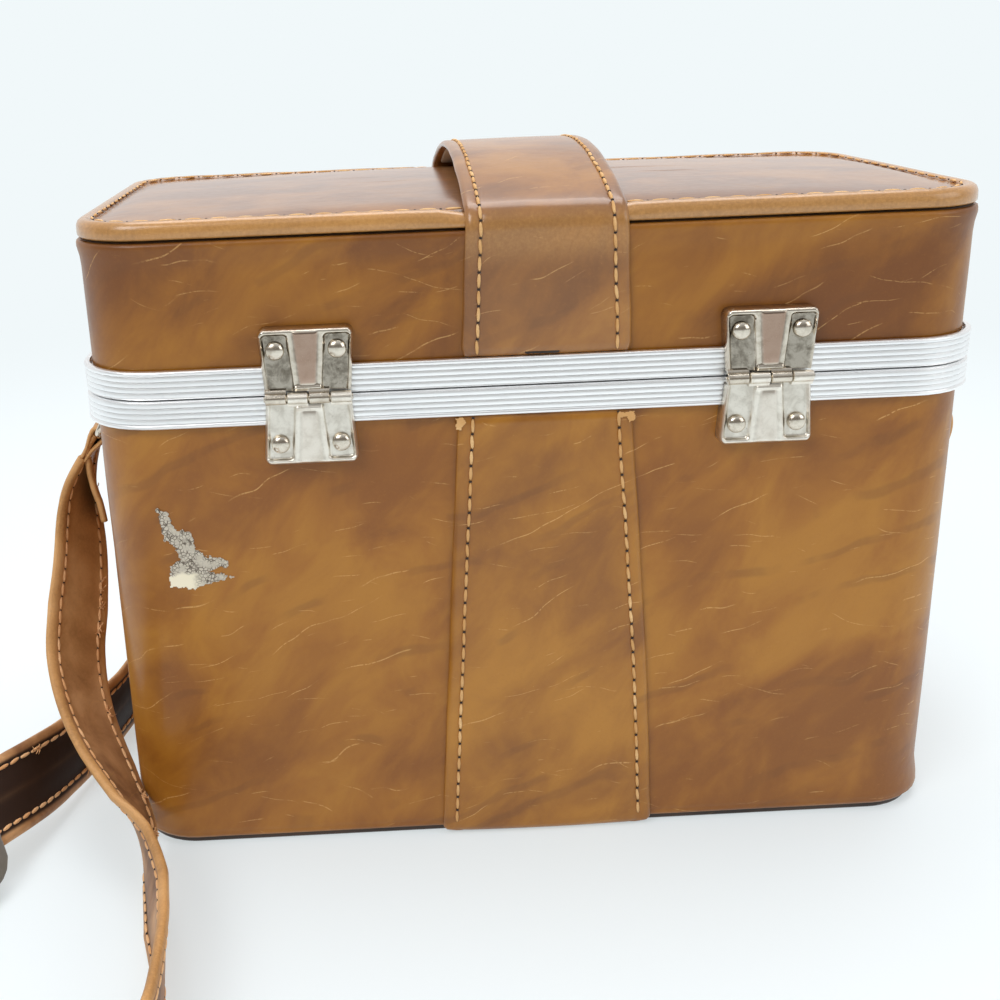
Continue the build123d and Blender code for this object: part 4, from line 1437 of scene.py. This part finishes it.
# %% Rim seam
rim_thread = (2.9, 0.5, 0.45)
rim_hole = (0.5, 0.3, 0.25)
rim_line = rim_seam(5.2, 233.35)
sew("rim stitches", [rim_line], "lid", "brown_vinyl", rim_thread, 0.04, thread, rim_hole, rim_pitch)

# %% [markdown]
# ## Hinges
#
# Each leaf is one stamped tray: a rim that stands up all round, two sunken panels and a raised
# middle that narrows towards the pin. Boxes cut out of a plate would leave hard edges, which a press
# never makes. So the relief is a height written as a function of the place on the leaf, and the whole
# face is one grid.

# %% Hinge leaf relief
leaf_low = 2.3
leaf_high = 23.3
leaf_corner = 3.0
leaf_half_low = 14.4
knuckle_out = 6.5


def leaf_half_width(rise_z):
    """Half the leaf's width at a distance from the pin."""
    share = (rise_z - leaf_low) / (leaf_high - leaf_low)
    half = leaf_half_low + 1.6 * share
    if rise_z > leaf_high - leaf_corner:
        into = (rise_z - (leaf_high - leaf_corner)) / leaf_corner
        half -= leaf_corner * (1 - math.sqrt(max(0.0, 1 - into * into)))
    return half


def leaf_relief(x, z, half):
    """How far the face stands out from the wall at a place on the leaf, how much painted dark reflection
    and shade it takes on the sunken panels and grooves, and its painted pinkish reflection on the middle.
    """
    edge = min(half - abs(x), leaf_high - z)
    rim = math.sqrt(smooth_step(-0.2, 1.1, edge))
    middle_half = 2.4 + 1.8 * (z - leaf_low) / (leaf_high - leaf_low)
    aside = min(abs(x) - middle_half - 1.7, half - 0.9 - abs(x))
    along = min(z - leaf_low + 1.4, leaf_high - 1.5 - z)
    deep = min(aside, along)
    if max(aside, along) < 1.6:
        deep = 1.6 - math.hypot(1.6 - aside, 1.6 - along)
    sunken = smooth_step(0.0, 0.9, deep)
    low_end = smooth_step(leaf_low + 1.8, leaf_low + 3.2, z)
    off_line = abs(x) - middle_half
    middle = (1 - smooth_step(-0.5, 0.5, off_line)) * low_end
    line = math.exp(-((off_line - 0.1) / 0.45) ** 2) * low_end * smooth_step(0.8, 2.2, leaf_high - z)
    lip = math.exp(-((z - leaf_low - 1.2) / 0.6) ** 2) * (1 - smooth_step(4.0, 5.5, abs(x)))
    out = 4.1 + 2.2 * rim - 1.3 * sunken + 0.35 * middle * smooth_step(0.6, 1.8, edge) + 0.45 * lip
    return out - 0.25 * line, max(sunken, line * 0.9), middle * smooth_step(0.8, 1.8, leaf_high - z)


# %% Hinge leaf tray
def leaf_grid(sign):
    """Points and faces of one leaf's tray; sign is 1 above the pin, -1 below it."""
    rows_z = levels(leaf_low, leaf_low + 3.0, 10)[:-1] + levels(leaf_low + 3.0, leaf_high - 4.0, 9)[:-1]
    rows_z += levels(leaf_high - 4.0, leaf_high, 16)
    shares = [-1 + 2 * i / 72 for i in range(73)]
    points = []
    shaded_and_tarnished = []
    painted_reflection_tints = []
    for z in rows_z:
        half = leaf_half_width(z)
        for s in shares:
            x = half * s
            out, tarnish_and_shade, middle = leaf_relief(x, z, half)
            points.append((x, -half_y - out, split + sign * z))
            # Painted dark reflection and shade on the sunken panels and grooves, weaker on the lower leaf.
            shaded_and_tarnished.append(tarnish_and_shade * (1.0 if sign > 0 else 0.25))
            # A painted pinkish reflection on the middle, mostly on the upper leaf.
            painted_reflection_tints.append(middle * (0.85 if sign > 0 else 0.12))
    wide = len(shares)
    faces = row_faces(len(rows_z), wide, False, False)
    last = (len(rows_z) - 1) * wide
    loop = list(range(wide)) + [r * wide + wide - 1 for r in range(1, len(rows_z))]
    loop += [last + j for j in range(wide - 2, -1, -1)]
    loop += [r * wide for r in range(len(rows_z) - 2, 0, -1)]
    start = len(points)
    valance_reach = 10.2
    for index in loop:
        x, _, z = points[index]
        near = 3.1 if abs(z - split) < valance_reach else 0.06
        points.append((x, -half_y - near, z))
        # The sides get painted shade.
        shaded_and_tarnished.append(0.8)
        painted_reflection_tints.append(0.0)
    count = len(loop)
    for i in range(count):
        k = (i + 1) % count
        faces.append((loop[i], loop[k], start + k, start + i))
    faces.append(tuple(range(start, start + count)))
    return points, faces, shaded_and_tarnished, painted_reflection_tints


# %% Hinge knuckles
def knuckle_rows(x_low, x_high):
    """Rows of circles for a rolled knuckle, with eased ends."""
    rows = []
    circles = [(x_low, 0.95), (x_low, 1.7), (x_low + 0.25, 2.0)]
    circles += [(x_high - 0.25, 2.0), (x_high, 1.7), (x_high, 0.95)]
    for x, radius in circles:
        row = []
        for step in range(28):
            angle = 2 * math.pi * step / 28
            y = -half_y - knuckle_out + radius * math.sin(angle)
            row.append((x, y, split + radius * math.cos(angle)))
        rows.append(row)
    return rows


def tongue(x_low, x_high, sign):
    """The sheet that runs from the knuckle into the leaf."""
    back = -half_y - knuckle_out + 1.2
    front = -half_y - knuckle_out - 0.25
    line = [(front, 0.7), (front - 0.25, 1.4), (front - 0.1, 2.2), (front + 0.35, 2.9)]
    line += [(back, 3.0), (back, 0.7)]
    places = (x_low, x_low + 0.2, x_high - 0.2, x_high)
    return [[(x, y, split + sign * z) for y, z in line] for x in places]


# %% Hinge leaves
knuckle_spans = {
    "lid": [(-leaf_half_low, -7.35), (0.15, 7.05)],
    "base": [(-7.05, -0.15), (7.35, leaf_half_low)],
}


def hinge_leaf(side, centre, half):
    """One leaf: its tray, its two knuckles and the sheet between them, as one mesh."""
    sign = 1 if half == "lid" else -1
    # The base's leaves take the paler copy of the nickel, painted brighter.
    metal_kind = nickel if half == "lid" else paler_rougher_nickel
    points, faces, shaded_and_tarnished, painted_reflection_tints = leaf_grid(sign)
    tray = put_in_scene("tray", build_mesh("tray", points, faces, True, math.radians(55)), metal_kind)
    for name, values in (("tarnish_and_shade", shaded_and_tarnished), ("painted_reflection_tint", painted_reflection_tints)):
        tray.data.attributes.new(name, "FLOAT", "POINT").data.foreach_set("value", values)
    parts = [tray]
    for x_low, x_high in knuckle_spans[half]:
        rolled = knuckle_rows(x_low, x_high)
        parts.append(swept("knuckle", rolled, metal_kind, True, True, math.radians(50)))
        sheet = tongue(x_low, x_high, sign)
        parts.append(swept("tongue", sheet, metal_kind, True, False, math.radians(40)))
    leaf = joined(f"hinge {side} {half} leaf", parts, metal_kind)
    leaf.data.transform(Matrix.Translation((centre * MM, 0, 0)))
    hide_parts(f"hinge_{side}_{half}_leaf")
    return leaf


hinge_centres = {"left": -77.0, "right": 77.0}
rivet_aside = 10.2
rivet_rise = 16.0
for side, centre in hinge_centres.items():
    hinge_leaf(side, centre, "lid")
    hinge_leaf(side, centre, "base")
print("hinge leaves:", 2 * len(hinge_centres))


# %% Hinge rivets
def rivet_rows(radius, height, shank, depth):
    """Rows of a domed rivet from its dome's top to the shank's end, along -Y."""
    line = []
    for step in range(7):
        angle = math.pi / 2 * (1 - step / 6)
        line.append((radius * math.cos(angle), height * math.sin(angle) + 0.15))
    line[0] = (0.02, height + 0.15)
    line += [(radius, 0.0), (radius - 0.25, -0.2), (shank, -0.2), (shank, -depth)]
    turns = [2 * math.pi * step / 26 for step in range(26)]
    return [[(r * math.cos(a), -out, r * math.sin(a)) for a in turns] for r, out in line]


def rivet_set(name, nodes_name, height_z, out):
    """Four hinge rivets of one leaf line."""
    parts = []
    rows = rivet_rows(3.1, 1.5, 1.45, out + 4.9)
    for centre in hinge_centres.values():
        for offset in (-rivet_aside, rivet_aside):
            part = swept("rivet", rows, nickel, True, False, math.radians(50))
            place = Vector((centre + offset, -half_y - out, height_z)) * MM
            part.data.transform(Matrix.Translation(place))
            parts.append(part)
    made = joined(name, parts, nickel)
    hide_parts(nodes_name)
    return made


rivet_set("hinge lid rivets", "hinge_lid_rivets", split + rivet_rise, 5.6)
rivet_set("hinge base rivets", "hinge_base_rivets", split - rivet_rise, 5.6)
print("hinge rivets:", 4 * len(hinge_centres))

# %% [markdown]
# ## Strap ends, and the pad
#
# Each end is folded round its ring's lower bar and sewn to itself. Its loop follows the ring and its
# tail follows the strap. On the left the strap also has a doubled flap under the bar. The pad is a
# soft sleeve round the part of the strap that lies to the left of the case, mostly outside the view.

# %% Strap ends
ring_axis = (155.8, 157.0)
ring_drop = 15.0


def strap_end(name, side, tilt, target):
    """The loop round the bar and the doubled tail, drawn for one side."""
    lean = math.radians(tilt)
    bar_x = ring_axis[0] + ring_drop * math.sin(lean)
    bar = Vector((side * bar_x, 0, ring_axis[1] - ring_drop * math.cos(lean)))
    aim = Vector(target) - bar
    down = aim.normalized()
    across = Vector((0, 1, 0))
    out = across.cross(down) * side
    fold = 1.78
    around = fold + 0.95
    loop = []
    for step in range(13):
        angle = math.pi * step / 12
        loop.append((out * math.cos(angle) - down * math.sin(angle)) * around + bar)
    tail = aim.length + 0.6
    front = []
    back = []
    for share in (0.2, 0.4, 0.6, 0.8, 1.0):
        middle = bar + down * (tail * share)
        apart = out * (around - (fold + 0.1) * smooth_step(0.0, 0.75, share))
        front.insert(0, middle + apart)
        back.append(middle - apart)
    frames = frames_along(front + loop + back, lambda _: across)
    profile = ribbon_profile(strap_width - 0.6, 1.6, 3.6, 0.12)
    made = swept(name, ribbon_rows(frames, profile, 0.1), vinyl_strap)
    tone_ribbon(made, frames, profile)
    start = (bar + down * 3.0) * MM
    end = (bar + down * (tail - 0.8)) * MM
    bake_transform(made)
    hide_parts(name.replace(" ", "_"))
    return made


def strap_flap():
    """The left strap's doubled end, which hangs from the bar and is sewn to the strap lower down."""
    route = [(-0.1636, 0, 0.1424), (-0.1690, 0, 0.1385), (-0.1713, 0, 0.1290), (-0.1706, 0, 0.1190)]
    route += [(-0.1688, 0, 0.1120), (-0.1680, -0.0005, 0.1060)]
    frames = frames_along(spline_points(route, 8), lambda _: Vector((-0.21, 0.93, -0.31)), 1.2)
    profile = ribbon_profile(strap_width - 2.0, 2.4, 3.6, 0.2)
    made = swept("strap flap", ribbon_rows(frames, profile, 0.15, 7.0), vinyl_strap)
    tone_ribbon(made, frames, profile)
    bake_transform(made)
    return made


flap = strap_flap()
strap_end("strap end left", -1, 30.0, strap_line[0][0])
strap_end("strap end right", 1, 45.0, strap_line[-1][0])
print("flap faces", len(flap.data.polygons))

# %% Shoulder pad
pad_from = 16.55
pad_to = 19.0
pad_spans = len(strap_route) - 1


def pad_rows():
    """A rounded flat sleeve that follows the strap, with eased ends."""
    count = len(strap_line)
    first = int(pad_from / pad_spans * count)
    last = int(pad_to / pad_spans * count)
    used = strap_line[first:last + 1]
    start = used[0][4]
    length = used[-1][4] - start
    rows = []
    for place, _, lay, out, run in used:
        from_end = min(run - start, length - (run - start))
        ease = math.sqrt(max(0.0, 1 - (1 - min(1.0, from_end / 16.0)) ** 2))
        half = 10.0 + 16.6 * max(0.12, ease)
        thick = 1.9 + 2.3 * min(1.0, from_end / 5.0)
        row = []
        for step in range(44):
            angle = 2 * math.pi * step / 44
            a = math.copysign(abs(math.cos(angle)) ** 0.45, math.cos(angle)) * half
            o = math.copysign(abs(math.sin(angle)) ** 0.7, math.sin(angle)) * thick
            welt = 0.45 * math.exp(-((half - abs(a) - 3.0) / 0.9) ** 2)
            o -= math.copysign(welt, o) if abs(o) > 1.2 else 0.0
            point = place + lay * a + out * o
            point.z = max(point.z, 0.3)
            row.append(point)
        rows.append(row)
    return rows


pad = swept("shoulder pad", pad_rows(), pad_material)
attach(pad, "root")
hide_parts("shoulder_pad")
print("pad faces", len(pad.data.polygons))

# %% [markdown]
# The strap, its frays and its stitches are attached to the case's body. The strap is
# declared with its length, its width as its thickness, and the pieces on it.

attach(strap, "root")
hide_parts("shoulder_strap")
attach(frays, "root")
thread_of_strap = (2.8, 0.72, 0.55)
hole_of_strap = (0.32, 0.55, 0.3)
how_sewn = (thread_of_strap, 0.08, strap_thread, hole_of_strap)
stitches = sew("strap stitches", strap_seams, "root", "strap_vinyl", *how_sewn)
round(strap_length * MM, 3)
[tuple(place * MM) for place, *_ in strap_line]
print("strap declared,", round(strap_length), "mm long")

# %% [markdown]
# ## Everything that keeps its CAD shape
#
# Boards, linings, partitions, latches and rings are plain or out of sight in the photograph, so a
# second model of them would add nothing. They are shown as they are, in the materials of their kind.

# %% Materials on the rest
rides = {
    "root": [base_cover, base_valance, back_strip, front_strip],
    "lid": [lid_cover, lid_valance, top_panel],
}
for body, pieces in rides.items():
    for piece in pieces:
        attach(piece, body)
for side in ("left", "right"):
    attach(bpy.data.objects[f"hinge-{side}-lid-leaf"], "lid")
    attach(bpy.data.objects[f"hinge-{side}-base-leaf"], "root")
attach(bpy.data.objects["hinge-lid-rivets"], "lid")
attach(bpy.data.objects["hinge-base-rivets"], "root")

shown_as_is = {
    "fibreboard": board,
    "bottom_vinyl": vinyl_bottom,
    "lining_cloth": lining_cloth,
    "felt": felt,
    "nickel_steel": nickel,
    "spring_steel": dark_steel,
}
dressed = 0
slot_of_node = {part["node"]: part["material_slot"] for part in frame["record"]["subparts"]}
for node, made in frame["nodes"].items():
    if made.hide_render:
        continue
    made.data.materials.clear()
    made.data.materials.append(shown_as_is[slot_of_node[node]])
    dressed += 1
print("CAD pieces dressed:", dressed)

# %% [markdown]
# ## Floor, light and background
#
# A pale floor in a soft studio: one large light over the front left, a weaker one on the right and
# a wide one above. A picture of a studio could light it too, but three lights can be set one by one.
# Only the camera sees the white background. The case is also lit by a plain room that is darker
# behind the camera, and the metal mirrors that room.

# %% Floor and lights
backdrop = linear(241, 248, 250)
floor_material, graph = new_material("floor")
here = graph.here()
paper = graph.add("ShaderNodeBsdfPrincipled", {}, {"Base Color": linear(243, 250, 253), "Roughness": 0.7})
away = graph.add("ShaderNodeVectorMath", {"operation": "LENGTH"}, {0: here}, "Value")
glow = graph.add("ShaderNodeEmission", {}, {"Color": backdrop, "Strength": 1.0})
faded = graph.between(away, 0.2, 1.0) * 0.5 + 0.5
graph.finish(graph.add("ShaderNodeMixShader", {}, {0: faded, 1: paper, 2: glow}))
floor_mesh = bpy.data.meshes.new("floor")
floor_reach = 6
corners = [(x * floor_reach, y * floor_reach, -0.0002) for x, y in ((-1, -1), (1, -1), (1, 1), (-1, 1))]
floor_mesh.from_pydata(corners, [], [(0, 1, 2, 3)])
floor = put_in_scene("floor", floor_mesh, floor_material)


def area_light(name, place, aim, size, power, colour=(1, 1, 1)):
    """A soft rectangular light that faces a point."""
    data = bpy.data.lights.new(name, "AREA")
    data.shape = "RECTANGLE"
    data.size, data.size_y = size
    data.energy = power
    data.color = colour
    made = bpy.data.objects.new(name, data)
    made.location = place
    made.rotation_euler = (Vector(aim) - Vector(place)).to_track_quat("-Z", "Y").to_euler()
    scene.collection.objects.link(made)
    return made


area_light("key light", (-1.0, -1.25, 1.5), (0, 0, 0.1), (1.0, 1.0), 17.0)
area_light("fill light", (1.5, -1.0, 0.9), (0, 0, 0.1), (1.2, 1.0), 7.0)
area_light("top light", (0.1, 0.5, 1.9), (0, 0, 0.15), (1.6, 1.2), 20.0)

world = bpy.data.worlds.new("studio")
scene.world = world
world.use_nodes = True
graph = Graph(world.node_tree)
seen = graph.add("ShaderNodeLightPath", {}, {}, "Is Camera Ray")
white = graph.add("ShaderNodeBackground", {}, {"Color": backdrop, "Strength": 1.0})
way = graph.add("ShaderNodeTexCoord", {}, {}, "Generated")
across, ahead, above = graph.axes(way)
room = graph.blend(graph.between(ahead, -0.35, 0.3), (0.26, 0.24, 0.22, 1), (1.0, 1.0, 1.0, 1))
room = graph.blend(graph.between(above, 0.25, 0.9), room, (0.8, 0.82, 0.84, 1))
soft = graph.add("ShaderNodeBackground", {}, {"Color": room, "Strength": 0.85})
sky = graph.add("ShaderNodeMixShader", {}, {0: seen, 1: soft, 2: white})
graph.add("ShaderNodeOutputWorld", {}, {"Surface": sky})
scene.view_settings.view_transform = "Standard"
